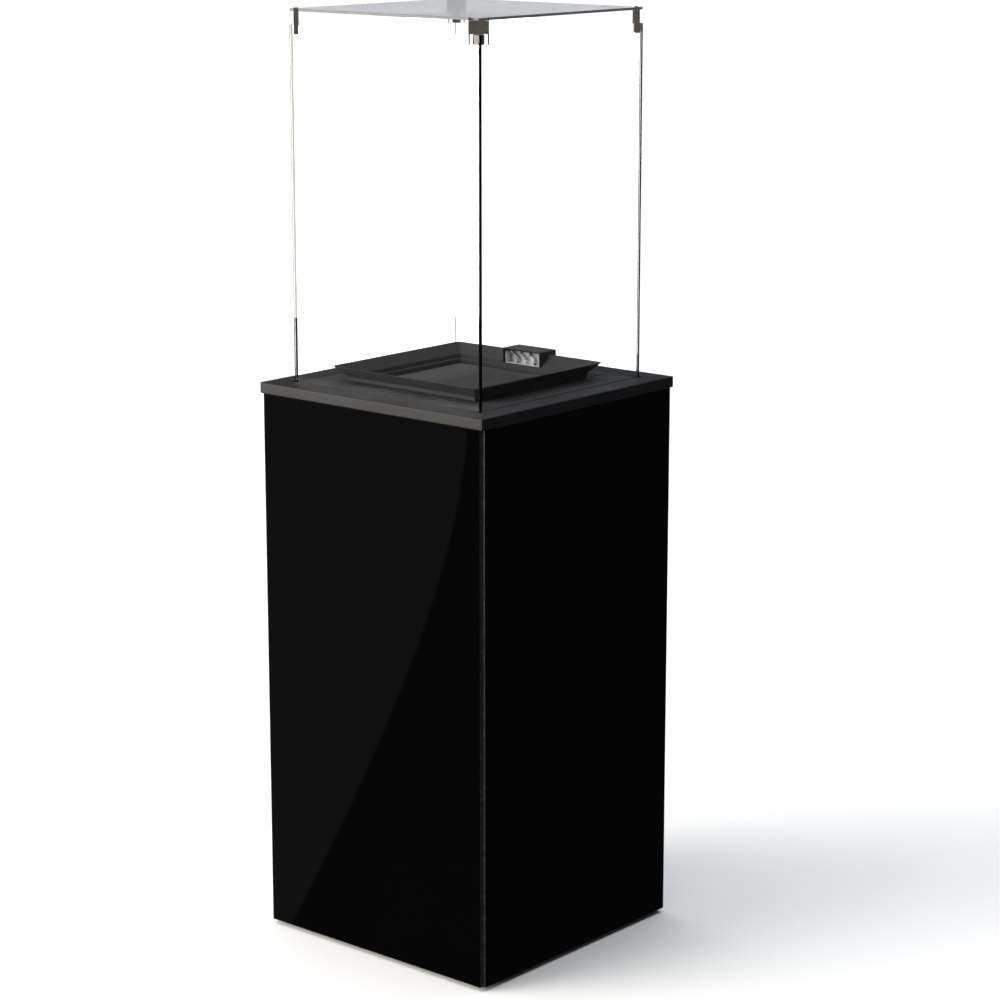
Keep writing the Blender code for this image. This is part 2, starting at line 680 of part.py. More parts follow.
def make_panes(mats):
    """Front and rear panes run the full width, and the side panes stand between them."""
    between = PANE_IN - GAP
    spans = {
        "pane_front": ((-PANE_OUT, -PANE_OUT), (PANE_OUT, -PANE_IN)),
        "pane_rear": ((-PANE_OUT, PANE_IN), (PANE_OUT, PANE_OUT)),
        "pane_left": ((-PANE_OUT, -between), (-PANE_IN, between)),
        "pane_right": ((PANE_IN, -between), (PANE_OUT, between)),
    }
    for name, (low, high) in spans.items():
        finish(name, block_mesh(name, (*low, PANE_FOOT), (*high, PANE_TOP)), mats["clear_glass"])
    cover = block_mesh("cover_glass", (-PANE_OUT, -PANE_OUT, COVER_LOW), (PANE_OUT, PANE_OUT, COVER_TOP))
    finish("cover_glass", cover, mats["tinted_glass"])


def make_brackets(mats):
    """Bent steel channels on the pane corners. Slots in them straddle the panes, and the web holds the cover."""
    half, sheet = BRACKET_HALF_WIDTH, BRACKET_SHEET
    web_out = BRACKET_BACK - sheet
    low, high = PANE_TOP - BRACKET_DROP, COVER_LOW + BRACKET_RISE
    outline = [
        (-half, BRACKET_BACK - BRACKET_DEPTH),
        (-half, BRACKET_BACK),
        (half, BRACKET_BACK),
        (half, BRACKET_BACK - BRACKET_DEPTH),
        (half - sheet, BRACKET_BACK - BRACKET_DEPTH),
        (half - sheet, web_out),
        (-half + sheet, web_out),
        (-half + sheet, BRACKET_BACK - BRACKET_DEPTH),
    ]
    grip = PANE_GLASS + 4 * GAP
    for corner, (sx, sy) in CORNERS.items():
        inward = Vector((-sx, -sy)).normalized()
        along = Vector((-inward.y, inward.x))
        tip = Vector((sx * PANE_OUT, sy * PANE_OUT))
        plan = [tuple(tip + u * along + v * inward) for u, v in outline]
        name = f"bracket_{corner}"
        bracket = finish(name, prism_mesh(name, plan, low, high), mats["bright_steel"])
        out = PANE_OUT + 2 * GAP
        slots = []
        for first in (True, False):
            a = sorted((sx * out, sx * (out - (BRACKET_REACH if first else grip))))
            b = sorted((sy * out, sy * (out - (grip if first else BRACKET_REACH))))
            slots.append(((a[0], b[0], low - OVERCUT), (a[1], b[1], PANE_TOP + 2 * GAP)))
        for number, (start, end) in enumerate(slots):
            boolean(bracket, block_mesh(f"pane_slot_{number}", start, end))
        a = sorted((sx * (PANE_OUT + GAP), sx * (PANE_OUT - BRACKET_REACH)))
        b = sorted((sy * (PANE_OUT + GAP), sy * (PANE_OUT - BRACKET_REACH)))
        seat = ((a[0], b[0], COVER_LOW - GAP), (a[1], b[1], high + OVERCUT))
        boolean(bracket, block_mesh("cover_seat", *seat))


# ---------------------------------------------------------------- deck and burner


def make_deck(mats):
    """The slotted plate inside the panes, with a wall and a flange that make the channel they stand in."""
    wall = DECK_EDGE - DECK_SHEET
    hole = TRAY_NECK + GAP
    flange = DECK_EDGE + DECK_FLANGE
    under = LID_TOP - DECK_SHEET
    profile = [
        (hole, LID_TOP),
        (DECK_EDGE, LID_TOP),
        (DECK_EDGE, FLANGE_TOP),
        (flange, FLANGE_TOP),
        (flange, FLANGE_TOP - DECK_SHEET),
        (wall, FLANGE_TOP - DECK_SHEET),
        (wall, under),
        (hole, under),
    ]
    deck = finish("burner_deck", ring_mesh("burner_deck", profile), mats["lid_paint"])
    row = DECK_EDGE - SLOT_END_MARGIN - SLOT_LENGTH / 2
    count = int((DECK_EDGE - SLOT_CORNER_MARGIN) / SLOT_PITCH)
    low, high = under - OVERCUT, LID_TOP + OVERCUT
    slots = []
    for step in range(-count, count + 1):
        middle = step * SLOT_PITCH
        slots.append(((middle, -row), SLOT_LENGTH, SLOT_WIDTH, "Y"))
        slots.append(((-row, middle), SLOT_LENGTH, SLOT_WIDTH, "X"))
        slots.append(((row, middle), SLOT_LENGTH, SLOT_WIDTH, "X"))
        if abs(middle) > HOOD_HALF_WIDTH - SLOT_WIDTH:
            slots.append(((middle, row), SLOT_LENGTH, SLOT_WIDTH, "Y"))
    boolean(deck, slots_mesh("vent_slots", slots, low, high))
    half_x, half_y = PILOT_OPENING_HALF
    middle = HOOD_FRONT + HOOD_DEPTH / 2 + PILOT_OPENING_SHIFT
    opening = ((-half_x, middle - half_y, low), (half_x, middle + half_y, high))
    boolean(deck, block_mesh("pilot_opening", *opening))


def make_tray(mats):
    """A pressed square pan with a sloping brim, open below for the burner and notched for the hood."""
    slope = TRAY_BRIM_RISE / TRAY_BRIM
    brim_edge = TRAY_SHEET / math.sin(math.atan(slope))
    wall_in = TRAY_WALL - TRAY_SHEET
    neck_in = TRAY_NECK - TRAY_SHEET
    brim_foot = TRAY_RIM_TOP - slope * (TRAY_RIM - brim_edge - wall_in)
    ledge = LID_TOP + GAP
    profile = [
        (TRAY_NECK, TRAY_BOTTOM),
        (TRAY_NECK, ledge),
        (TRAY_WALL, ledge),
        (TRAY_WALL, LID_TOP + TRAY_WALL_RISE),
        (TRAY_RIM, TRAY_RIM_TOP),
        (TRAY_RIM - brim_edge, TRAY_RIM_TOP),
        (wall_in, brim_foot),
        (wall_in, ledge + TRAY_SHEET),
        (neck_in, ledge + TRAY_SHEET),
        (neck_in, TRAY_FLOOR),
    ]
    tray = finish("burner_tray", ring_mesh("burner_tray", profile, capped=True), mats["tray_paint"])
    half_x, half_y = BURNER_HALF
    opening = ((-half_x, -half_y, TRAY_BOTTOM - OVERCUT), (half_x, half_y, TRAY_FLOOR + OVERCUT))
    boolean(tray, block_mesh("burner_opening", *opening))
    wide = HOOD_HALF_WIDTH + GAP
    low = (-wide, HOOD_FRONT - GAP, PILOT_SHELF - 2 * GAP)
    boolean(tray, block_mesh("hood_notch", low, (wide, TRAY_RIM + OVERCUT, TRAY_RIM_TOP + OVERCUT)))


def make_burner(mats):
    """The ported plate in the tray's floor, and the gas chamber under it."""
    half_x, half_y = BURNER_HALF
    plate_x, plate_y = half_x - GAP, half_y - GAP
    plate = finish(
        "burner_plate",
        block_mesh("burner_plate", (-plate_x, -plate_y, TRAY_BOTTOM), (plate_x, plate_y, TRAY_FLOOR)),
        mats["tray_paint"],
    )
    length, width = BURNER_PORT
    rows = int((plate_y - BURNER_PORT_PITCH / 2) / BURNER_PORT_PITCH)
    ports = []
    for x in BURNER_PORT_COLUMNS:
        for row in range(-rows, rows + 1):
            ports.append(((x, row * BURNER_PORT_PITCH), length, width, "X"))
    boolean(plate, slots_mesh("ports", ports, TRAY_BOTTOM - OVERCUT, TRAY_FLOOR + OVERCUT))
    out_x, out_y = half_x + BURNER_BOX_RIM / 2, half_y + BURNER_BOX_RIM / 2
    chamber = finish(
        "burner_chamber",
        block_mesh("burner_chamber", (-out_x, -out_y, BURNER_BOX_LOW), (out_x, out_y, BURNER_BOX_TOP)),
        mats["galvanised"],
    )
    open_x, open_y = out_x - BURNER_BOX_RIM, out_y - BURNER_BOX_RIM
    deep = BURNER_BOX_LOW + BURNER_BOX_SHEET
    mouth = ((-open_x, -open_y, deep), (open_x, open_y, BURNER_BOX_TOP + OVERCUT))
    boolean(chamber, block_mesh("chamber_mouth", *mouth))
    in_x, in_y = out_x - BURNER_BOX_SHEET, out_y - BURNER_BOX_SHEET
    hollow = ((-in_x, -in_y, deep), (in_x, in_y, BURNER_BOX_TOP - BURNER_BOX_SHEET))
    boolean(chamber, block_mesh("chamber_hollow", *hollow))


def make_pilot(mats):
    """Hood, bracket and the three rods on it: pilot burner, thermocouple and spark electrode."""
    top = LID_TOP + HOOD_TOP
    low = (-HOOD_HALF_WIDTH, HOOD_FRONT, LID_TOP + GAP)
    mesh = block_mesh("pilot_hood", low, (HOOD_HALF_WIDTH, HOOD_BACK, top))
    hood = finish("pilot_hood", mesh, mats["tray_paint"])
    inside = HOOD_HALF_WIDTH - HOOD_SHEET
    low = (-inside, HOOD_FRONT - OVERCUT, LID_TOP - OVERCUT)
    boolean(hood, block_mesh("hood_hollow", low, (inside, HOOD_BACK - HOOD_SHEET, top - HOOD_SHEET)))
    wide = HOOD_HALF_WIDTH + OVERCUT
    low = (-wide, HOOD_FRONT - OVERCUT, LID_TOP - OVERCUT)
    boolean(hood, block_mesh("hood_step", low, (wide, TRAY_WALL + 2 * GAP, PILOT_SHELF)))
    shelf_front = HOOD_FRONT + PILOT_SHELF_FRONT
    plate_back = PILOT_Y + PILOT_PLATE
    outline = [
        (shelf_front, PILOT_SHELF),
        (plate_back, PILOT_SHELF),
        (plate_back, LID_TOP + PILOT_PLATE_TOP),
        (PILOT_Y, LID_TOP + PILOT_PLATE_TOP),
        (PILOT_Y, PILOT_SHELF + PILOT_PLATE),
        (shelf_front, PILOT_SHELF + PILOT_PLATE),
    ]
    mesh = prism_mesh("pilot_bracket", outline, -PILOT_HALF_WIDTH, PILOT_HALF_WIDTH, "X")
    bracket = finish("pilot_bracket", mesh, mats["galvanised"])
    for name, (x, radius) in PILOT_RODS.items():
        end = rod_end(name)
        wide = radius * PILOT_HOLE_SHARE
        bore = [(wide, PILOT_SHELF - OVERCUT), (wide, PILOT_SHELF + PILOT_PLATE + OVERCUT)]
        boolean(bracket, turned_mesh("lead_hole", bore, 12, (end.x, end.y, 0)))
        surface = "white_ceramic" if name == "spark_electrode" else "bright_steel"
        rod = finish(name, rod_mesh(name, radius), mats[surface])
        smooth(rod)


def rod_middle(name):
    """The middle of a pilot rod, just in front of its bracket's upright plate."""
    x, radius = PILOT_RODS[name]
    return Vector((x, PILOT_Y - radius - GAP, LID_TOP + PILOT_ROD_LIFT))


def rod_end(name):
    """The lowest point of a pilot rod, at the foot of its slope."""
    radius = PILOT_RODS[name][1]
    slant = (PILOT_ROD_SPAN / 2 - radius) * math.sqrt(0.5)
    return rod_middle(name) + Vector((slant, 0, -slant - radius))


def rod_mesh(name, radius):
    """A round rod with domed ends, leaning at 45 degrees towards +X at its foot."""
    straight = PILOT_ROD_SPAN / 2 - radius
    dome = []
    for rise in PILOT_ROD_DOME:
        a = math.radians(rise)
        dome.append((radius * math.cos(a), straight + radius * math.sin(a)))
    profile = [(r, -t) for r, t in reversed(dome)] + dome
    mesh = turned_mesh(name, profile, 12, (0, 0, 0))
    lean = Matrix.Rotation(math.radians(-45), 4, "Y")
    mesh.transform(Matrix.Translation(rod_middle(name)) @ lean)
    return mesh


# ---------------------------------------------------------------- gas train


def make_shelf(mats):
    """A hanger plate between the side rails."""
    side_out = RAIL_OUT
    side_in = side_out - RAIL_SHEET
    under = SHELF_TOP - SHELF_SHEET
    outline = [
        (-side_out, RAIL_LOW - GAP),
        (-side_out, under),
        (side_out, under),
        (side_out, RAIL_LOW - GAP),
        (side_in, RAIL_LOW - GAP),
        (side_in, SHELF_TOP),
        (-side_in, SHELF_TOP),
        (-side_in, RAIL_LOW - GAP),
    ]
    mesh = prism_mesh("valve_shelf", outline, -SHELF_HALF_DEPTH, SHELF_HALF_DEPTH, "Y")
    finish("valve_shelf", mesh, mats["galvanised"])


def make_valve(mats):
    """The gas valve with its knob towards the door, the hose inlet and the pipe up to the burner."""
    base = SHELF_TOP + GAP
    mesh = block_mesh("gas_valve", (*VALVE_LOW, base), (*VALVE_HIGH, VALVE_TOP))
    finish("gas_valve", mesh, mats["galvanised"])
    middle = (VALVE_KNOB_X, VALVE_HIGH[1], base + VALVE_HEIGHT / 2)
    knob_profile = [
        (VALVE_KNOB_RADIUS, GAP),
        (VALVE_KNOB_RADIUS, VALVE_KNOB_LENGTH - VALVE_KNOB_BEVEL),
        (VALVE_KNOB_RADIUS - VALVE_KNOB_BEVEL, VALVE_KNOB_LENGTH),
    ]
    mesh = turned_mesh("valve_knob", knob_profile, 20, middle, "Y")
    knob = finish("valve_knob", mesh, mats["black_plastic"], origin=middle)
    wide, near, far = VALVE_POINTER
    front = VALVE_HIGH[1] + VALVE_KNOB_LENGTH
    low = (VALVE_KNOB_X - wide / 2, front - OVERCUT, middle[2] + near)
    high = (VALVE_KNOB_X + wide / 2, front + OVERCUT, middle[2] + far)
    boolean(knob, block_mesh("pointer", low, high))
    smooth(knob)
    start = VALVE_LOW[0] - GAP
    collar_radius, collar_length = INLET_COLLAR
    barbs = [(collar_radius, 0), (collar_radius, -collar_length), (INLET_CORE_RADIUS, -collar_length)]
    for step in range(INLET_BARBS):
        back = -INLET_FIRST_BARB - step * INLET_BARB_PITCH
        barbs += [(INLET_BARB_RADIUS, back), (INLET_CORE_RADIUS, back - INLET_BARB_LENGTH)]
    barbs.append((INLET_CORE_RADIUS, -INLET_LENGTH))
    barbs += [(INLET_BORE_RADIUS, -INLET_LENGTH), (INLET_BORE_RADIUS, 0)]
    mesh = turned_mesh("gas_inlet", barbs, 16, (start, 0, base + INLET_LIFT), "X", ring=True)
    smooth(finish("gas_inlet", mesh, mats["brass"]))
    nut_radius, nut_length = MAIN_NUT
    low, high = VALVE_TOP + GAP, BURNER_BOX_LOW - GAP
    pipe = [
        (nut_radius, low),
        (nut_radius, low + nut_length),
        (MAIN_PIPE_RADIUS, low + nut_length),
        (MAIN_PIPE_RADIUS, high - nut_length),
        (nut_radius, high - nut_length),
        (nut_radius, high),
    ]
    mesh = turned_mesh("main_gas_pipe", pipe, 12, (MAIN_PIPE_X, 0, 0))
    finish("main_gas_pipe", mesh, mats["copper"])


def make_control_box(mats):
    """The receiver with its battery cover, which slides off sideways, and the mode switch."""
    base = SHELF_TOP + GAP
    mesh = block_mesh("control_box", (*CONTROL_LOW, base), (*CONTROL_HIGH, CONTROL_TOP))
    finish("control_box", mesh, mats["black_plastic"])
    face = CONTROL_HIGH[1] + GAP
    middle = base + CONTROL_HEIGHT / 2
    for name, x, (wide, thick, tall) in (
        ("battery_cover", BATTERY_COVER_X, BATTERY_COVER),
        ("mode_switch", MODE_SWITCH_X, MODE_SWITCH),
    ):
        low = (x - wide / 2, face, middle - tall / 2)
        high = (x + wide / 2, face + thick, middle + tall / 2)
        finish(name, block_mesh(name, low, high), mats["black_plastic"], origin=(x, face, middle))


def make_leads(mats):
    """The pilot pipe and the two leads, from the rods down under the burner chamber to valve and box."""
    surfaces = {"pilot_pipe": "copper", "thermocouple_lead": "copper", "ignition_lead": "black_plastic"}
    for name, (rod, radius, (end_x, end_y)) in LEAD_ROUTES.items():
        top = rod_end(rod)
        landing = (CONTROL_TOP if end_x > VALVE_HIGH[0] else VALVE_TOP) + GAP
        level = BURNER_BOX_LOW - LEAD_TURN / 2
        start = Vector((top.x, top.y, top.z - GAP))
        route = bend_points(start, Vector((end_x, end_y, landing)), level, LEAD_TURN)
        line = bpy.data.curves.new(name, "CURVE")
        line.dimensions = "3D"
        line.bevel_depth = radius
        line.bevel_resolution = 2
        line.use_fill_caps = True
        spline = line.splines.new("POLY")
        spline.points.add(len(route) - 1)
        for point, place in zip(spline.points, route):
            point.co = (*place, 1.0)
        line.materials.append(mats[surfaces[name]])
        made = bpy.data.objects.new(name, line)
        bpy.context.scene.collection.objects.link(made)


def bend_points(start, end, level, turn):
    """Down from start, across at a level and down to end, with both corners rounded by quarter circles."""
    across = Vector((end.x - start.x, end.y - start.y, 0))
    reach = across.length
    across.normalize()
    small = min(turn, level - end.z)
    points = [start]
    steps = [math.pi / 2 * k / LEAD_TURN_STEPS for k in range(LEAD_TURN_STEPS + 1)]
    for a in steps:
        point = start + across * turn * (1 - math.cos(a))
        point.z = level + turn * (1 - math.sin(a))
        points.append(point)
    for a in steps:
        point = start + across * (reach - small + small * math.sin(a))
        point.z = level - small * (1 - math.cos(a))
        points.append(point)
    if level - small - end.z > small / 8:
        points.append(end)
    else:
        points[-1] = end
    return points


def main():
    for made in list(bpy.data.objects):
        bpy.data.objects.remove(made, do_unlink=True)
    mats = make_materials()
    make_base(mats)
    make_posts(mats)
    make_rails(mats)
    make_cladding(mats)
    make_door(mats)
    make_lid(mats)
    make_deck(mats)
    make_tray(mats)
    make_burner(mats)
    make_pilot(mats)
    make_panes(mats)
    make_brackets(mats)
    make_shelf(mats)
    make_valve(mats)
    make_control_box(mats)
    make_leads(mats)


main()
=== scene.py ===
"""A square outdoor gas heater in black glass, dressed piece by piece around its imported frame.

The file follows the heater as it is put together: cabinet frame, glass cladding, lid, deck, tray and
burner, pilot, glass chamber, door and gas train. Metres, +Z up, the front faces -Y and the door +Y.
"""

import math

import bmesh
import bpy
import numpy as np
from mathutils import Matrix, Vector
from mathutils.geometry import delaunay_2d_cdt


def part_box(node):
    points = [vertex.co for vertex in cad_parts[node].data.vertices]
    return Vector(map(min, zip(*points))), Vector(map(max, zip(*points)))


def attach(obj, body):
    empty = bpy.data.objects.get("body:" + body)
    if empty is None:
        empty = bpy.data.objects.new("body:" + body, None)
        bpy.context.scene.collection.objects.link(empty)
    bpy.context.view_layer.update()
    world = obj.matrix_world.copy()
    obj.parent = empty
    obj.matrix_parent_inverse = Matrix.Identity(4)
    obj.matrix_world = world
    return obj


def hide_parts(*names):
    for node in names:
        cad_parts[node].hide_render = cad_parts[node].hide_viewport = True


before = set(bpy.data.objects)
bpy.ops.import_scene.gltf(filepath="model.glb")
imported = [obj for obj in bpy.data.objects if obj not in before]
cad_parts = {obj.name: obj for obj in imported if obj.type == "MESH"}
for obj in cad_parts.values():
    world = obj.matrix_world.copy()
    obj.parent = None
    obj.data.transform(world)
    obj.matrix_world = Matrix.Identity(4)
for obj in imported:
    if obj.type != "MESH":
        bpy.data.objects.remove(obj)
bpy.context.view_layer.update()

# ---- the view
# A long lens above the cover's height, turned to the front right edge and looking a little down.

camera = bpy.data.objects.new("camera", bpy.data.cameras.new("camera"))
bpy.context.scene.collection.objects.link(camera)
bpy.context.scene.camera = camera
camera.data.lens = 103.13
camera.data.clip_end = 200
camera.location = (3.0181, -3.4385, 1.7743)
camera.rotation_euler = Vector((0.63455, -0.73982, 0.22364)).to_track_quat("Z", "Y").to_euler()

# ---- the studio
# A wide pale floor under a white sky, a soft key light from the front left, a softer one from above,
# and warm cards far off on both sides. What surfaces mirror is darker than what is seen directly: the
# floor shows them a dim glow, a painted reflection with a painted arc, and no flags stand round the set.

bpy.context.scene.view_settings.view_transform = "Standard"


def add(tree, kind, links=None, **settings):
    """A shader node with its settings. Each input is set to a value, or linked from another node's output."""
    node = tree.nodes.new("ShaderNode" + kind)
    for key, value in settings.items():
        setattr(node, key, value)
    for key, value in (links or {}).items():
        if isinstance(value, bpy.types.NodeSocket):
            tree.links.new(value, node.inputs[key])
        else:
            node.inputs[key].default_value = value
    return node


def clear_sight(tree):
    """1 for what is seen directly or straight through glass, and 0 for light that has met a surface before:
    seen by the camera, or a transmission ray with no diffuse bounce that has met no mirror, or has run along
    inside the edge of one pane."""
    path = add(tree, "LightPath")
    undimmed = add(tree, "Math", {0: path.outputs["Diffuse Depth"], 1: 0.5}, operation="LESS_THAN")
    unmirrored = add(tree, "Math", {0: path.outputs["Glossy Depth"], 1: 0.5}, operation="LESS_THAN")
    channelled = add(tree, "Math", {0: path.outputs["Glossy Depth"], 1: 1.5}, operation="GREATER_THAN")
    one_pane = add(tree, "Math", {0: path.outputs["Transmission Depth"], 1: 2.5}, operation="LESS_THAN")
    along = add(tree, "Math", {0: channelled.outputs[0], 1: one_pane.outputs[0]}, operation="MULTIPLY")
    straight = add(tree, "Math", {0: unmirrored.outputs[0], 1: along.outputs[0]}, operation="MAXIMUM")
    passing = {0: path.outputs["Is Transmission Ray"], 1: undimmed.outputs[0]}
    passing = add(tree, "Math", passing, operation="MULTIPLY")
    through = add(tree, "Math", {0: passing.outputs[0], 1: straight.outputs[0]}, operation="MULTIPLY")
    sight = add(tree, "Math", {0: path.outputs["Is Camera Ray"], 1: through.outputs[0]}, operation="MAXIMUM")
    return sight.outputs[0]


world = bpy.data.worlds.new("studio")
bpy.context.scene.world = world
world.use_nodes = True
tree = world.node_tree
tree.nodes.clear()
ray = add(tree, "TexCoord")
height = add(tree, "SeparateXYZ", {0: ray.outputs["Generated"]})
level = add(tree, "MapRange", {0: height.outputs["Z"], 1: -0.05, 2: 0.75, 3: 0.02, 4: 0.32})
side = add(tree, "MapRange", {0: height.outputs["X"], 1: -0.9, 2: 0.9, 3: 1.0, 4: 0.30})
ambient = add(tree, "Math", {0: level.outputs[0], 1: side.outputs[0]}, operation="MULTIPLY")
# A low grey wall behind the heater, which the cover mirrors.
to_wall = {0: ray.outputs["Generated"], 1: (-0.65, 0.76, 0.0)}
rearward = add(tree, "VectorMath", to_wall, operation="DOT_PRODUCT")
wall_width = add(tree, "MapRange", {0: rearward.outputs["Value"], 1: 0.72, 2: 0.90, 3: 0.0, 4: 0.46})
wall_height = add(tree, "MapRange", {0: height.outputs["Z"], 1: 0.075, 2: 0.10, 3: 1.0, 4: 0.0})
wall = add(tree, "Math", {0: wall_width.outputs[0], 1: wall_height.outputs[0]}, operation="MULTIPLY")
total = add(tree, "Math", {0: ambient.outputs[0], 1: wall.outputs[0]}, operation="ADD")
around = add(tree, "Background", {"Color": (0.95, 0.97, 1.0, 1.0), "Strength": total.outputs[0]})
behind = add(tree, "Background", {"Color": (1.0, 1.0, 1.0, 1.0), "Strength": 1.65})
both = add(tree, "MixShader", {0: clear_sight(tree), 1: around.outputs[0], 2: behind.outputs[0]})
add(tree, "OutputWorld", {"Surface": both.outputs[0]})

suns = {
    "key_light": ((-0.45, -0.78, 0.42), 2.4, 45, (1.0, 0.96, 0.91)),
    "top_light": ((-0.10, 0.05, 1.0), 2.4, 80, (0.93, 0.965, 1.0)),
}
for name, (towards, strength, spread, tint) in suns.items():
    lamp = bpy.data.lights.new(name, "SUN")
    lamp.energy = strength
    lamp.angle = math.radians(spread)
    lamp.color = tint
    sun = bpy.data.objects.new(name, lamp)
    sun.rotation_euler = Vector(towards).to_track_quat("Z", "Y").to_euler()
    sun.visible_glossy = False
    sun.visible_transmission = False
    bpy.context.scene.collection.objects.link(sun)

# The cards light the steel from outside. Past the panes they count for a third, or their mirror images in
# the glass would wash out the tray.
cards = {
    "left_card": ((-4.3, -5.0), 6.0, 540.0, (1.0, 0.92, 0.81)),
    "right_card": ((4.9, -4.4), 4.0, 5.0, (1.0, 0.93, 0.84)),
}
card_height, share_past_glass = 2.6, 0.34
for name, (place, width, strength, tint) in cards.items():
    lamp = bpy.data.lights.new(name, "AREA")
    lamp.shape = "RECTANGLE"
    lamp.size, lamp.size_y = width, card_height
    lamp.energy = strength
    lamp.color = tint
    lamp.use_nodes = True
    path = add(lamp.node_tree, "LightPath")
    reach_past = {0: path.outputs["Transmission Depth"], 3: 1.0, 4: share_past_glass}
    share = add(lamp.node_tree, "MapRange", reach_past)
    lamp.node_tree.links.new(share.outputs[0], lamp.node_tree.nodes["Emission"].inputs["Strength"])
    card = bpy.data.objects.new(name, lamp)
    card.location = (*place, card_height / 2)
    card.rotation_euler = Vector((*place, 0.0)).to_track_quat("Z", "Y").to_euler()
    card.visible_camera = False
    card.visible_transmission = False
    bpy.context.scene.collection.objects.link(card)

floor_mesh = bpy.data.meshes.new("floor")
reach = 40.0
floor_corners = [(-reach, -reach, 0), (reach, -reach, 0), (reach, reach, 0), (-reach, reach, 0)]
floor_mesh.from_pydata(floor_corners, [], [(0, 1, 2, 3)])
floor = bpy.data.objects.new("floor", floor_mesh)
bpy.context.scene.collection.objects.link(floor)
paint = bpy.data.materials.new("floor_paint")
paint.use_nodes = True
tree = paint.node_tree
tree.nodes.clear()
path = add(tree, "LightPath")
place = add(tree, "TexCoord")
speckle = add(tree, "TexNoise", {"Vector": place.outputs["Object"], "Scale": 3.0, "Detail": 4.0})
tone = add(tree, "MapRange", {0: speckle.outputs[0], 3: 0.90, 4: 0.94})
bounce = add(tree, "MapRange", {0: path.outputs["Is Diffuse Ray"], 3: 1.0, 4: 0.35})
# Through glass the floor is brighter, which makes up for what the panes take away.
behind_glass = add(tree, "MapRange", {0: path.outputs["Is Transmission Ray"], 3: 1.0, 4: 1.7})
lit = add(tree, "Math", {0: tone.outputs[0], 1: behind_glass.outputs[0]}, operation="MULTIPLY")
shade = add(tree, "Math", {0: lit.outputs[0], 1: bounce.outputs[0]}, operation="MULTIPLY")
pale = add(tree, "BsdfDiffuse", {"Color": shade.outputs[0]})
# The floor's painted reflection is darker past a long curve on the left, a painted arc that shows faintly in
# the front glass.
painted_arc_centre, painted_arc_reach = (-28.63, 18.71, 0.0), 34.17
away = add(tree, "VectorMath", {0: place.outputs["Object"], 1: painted_arc_centre}, operation="DISTANCE")
painted_arc_blur, painted_floor_reflection, painted_arc_reflection = 0.004, 0.085, 0.02
across_edge = {0: away.outputs["Value"], 1: painted_arc_reach - painted_arc_blur, 2: painted_arc_reach + painted_arc_blur}
painted_arc_edge = add(tree, "MapRange", {**across_edge, 3: painted_floor_reflection, 4: painted_arc_reflection})
dim = add(tree, "Emission", {"Color": (1.0, 1.0, 1.0, 1.0), "Strength": painted_arc_edge.outputs[0]})
shown = add(tree, "Math", {0: clear_sight(tree), 1: path.outputs["Is Diffuse Ray"]}, operation="MAXIMUM")
both = add(tree, "MixShader", {0: shown.outputs[0], 1: dim.outputs[0], 2: pale.outputs[0]})
add(tree, "OutputMaterial", {"Surface": both.outputs[0]})
floor_mesh.materials.append(paint)

# ---- frame steel
# Posts, rails, backing sheets and the base tray are folded or cut from sheet and primed dark grey.
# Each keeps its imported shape, with the folds and cut edges rounded by a small radius.


def shader_group(name, inputs, outputs):
    """An empty node group with named inputs, each with its starting value, and named outputs."""
    group = bpy.data.node_groups.new(name, "ShaderNodeTree")
    kinds = {float: "NodeSocketFloat", tuple: "NodeSocketVector"}
    for key, value in inputs.items():
        socket = group.interface.new_socket(name=key, in_out="INPUT", socket_type=kinds[type(value)])
        socket.default_value = value
    for key in outputs:
        group.interface.new_socket(name=key, in_out="OUTPUT", socket_type="NodeSocketFloat")
    return group, group.nodes.new("NodeGroupInput"), group.nodes.new("NodeGroupOutput")


# Grain: fine noise for height, and broad noise for the slow change of tone over a surface.
scales = {"Fine Scale": 900.0, "Broad Scale": 9.0, "Stretch": (1.0, 1.0, 1.0)}
grain, given, made = shader_group("grain", scales, ("Height", "Tone"))
place = add(grain, "TexCoord")
pulled = add(grain, "Mapping", {0: place.outputs["Object"], "Scale": given.outputs["Stretch"]})
small = {"Vector": pulled.outputs[0], "Scale": given.outputs["Fine Scale"], "Detail": 3.0}
fine = add(grain, "TexNoise", small)
wide = {"Vector": pulled.outputs[0], "Scale": given.outputs["Broad Scale"], "Detail": 5.0, "Roughness": 0.6}
broad = add(grain, "TexNoise", wide)
tone = add(grain, "MapRange", {0: broad.outputs[0], 1: 0.32, 2: 0.68, 3: 0.0, 4: 1.0})
grain.links.new(fine.outputs[0], made.inputs["Height"])
grain.links.new(tone.outputs[0], made.inputs["Tone"])

# Edge wear and painted edge highlight: where a normal rounded over a small radius leaves the true one, broken
# up by noise. The lighter edge colour is wear, and on the lid, deck and tray coats it is also a painted
# highlight along their edges.
edge_wear_and_highlight, given, made = shader_group("edge_wear_and_highlight", {"Radius": 0.0012, "Amount": 0.5}, ("Mask",))
around_edge = add(edge_wear_and_highlight, "Bevel", {"Radius": given.outputs["Radius"]}, samples=4)
true = add(edge_wear_and_highlight, "NewGeometry")
both_ways = {0: around_edge.outputs[0], 1: true.outputs["Normal"]}
facing = add(edge_wear_and_highlight, "VectorMath", both_ways, operation="DOT_PRODUCT")
turned_away = add(edge_wear_and_highlight, "MapRange", {0: facing.outputs["Value"], 1: 1.0, 2: 0.8, 3: 0.0, 4: 1.0})
place = add(edge_wear_and_highlight, "TexCoord")
broken = add(edge_wear_and_highlight, "TexNoise", {"Vector": place.outputs["Object"], "Scale": 160.0, "Detail": 4.0})
patchy = add(edge_wear_and_highlight, "MapRange", {0: broken.outputs[0], 1: 0.35, 2: 0.65, 3: 0.25, 4: 1.0})
wear_and_highlight = add(edge_wear_and_highlight, "Math", {0: turned_away.outputs[0], 1: patchy.outputs[0]}, operation="MULTIPLY")
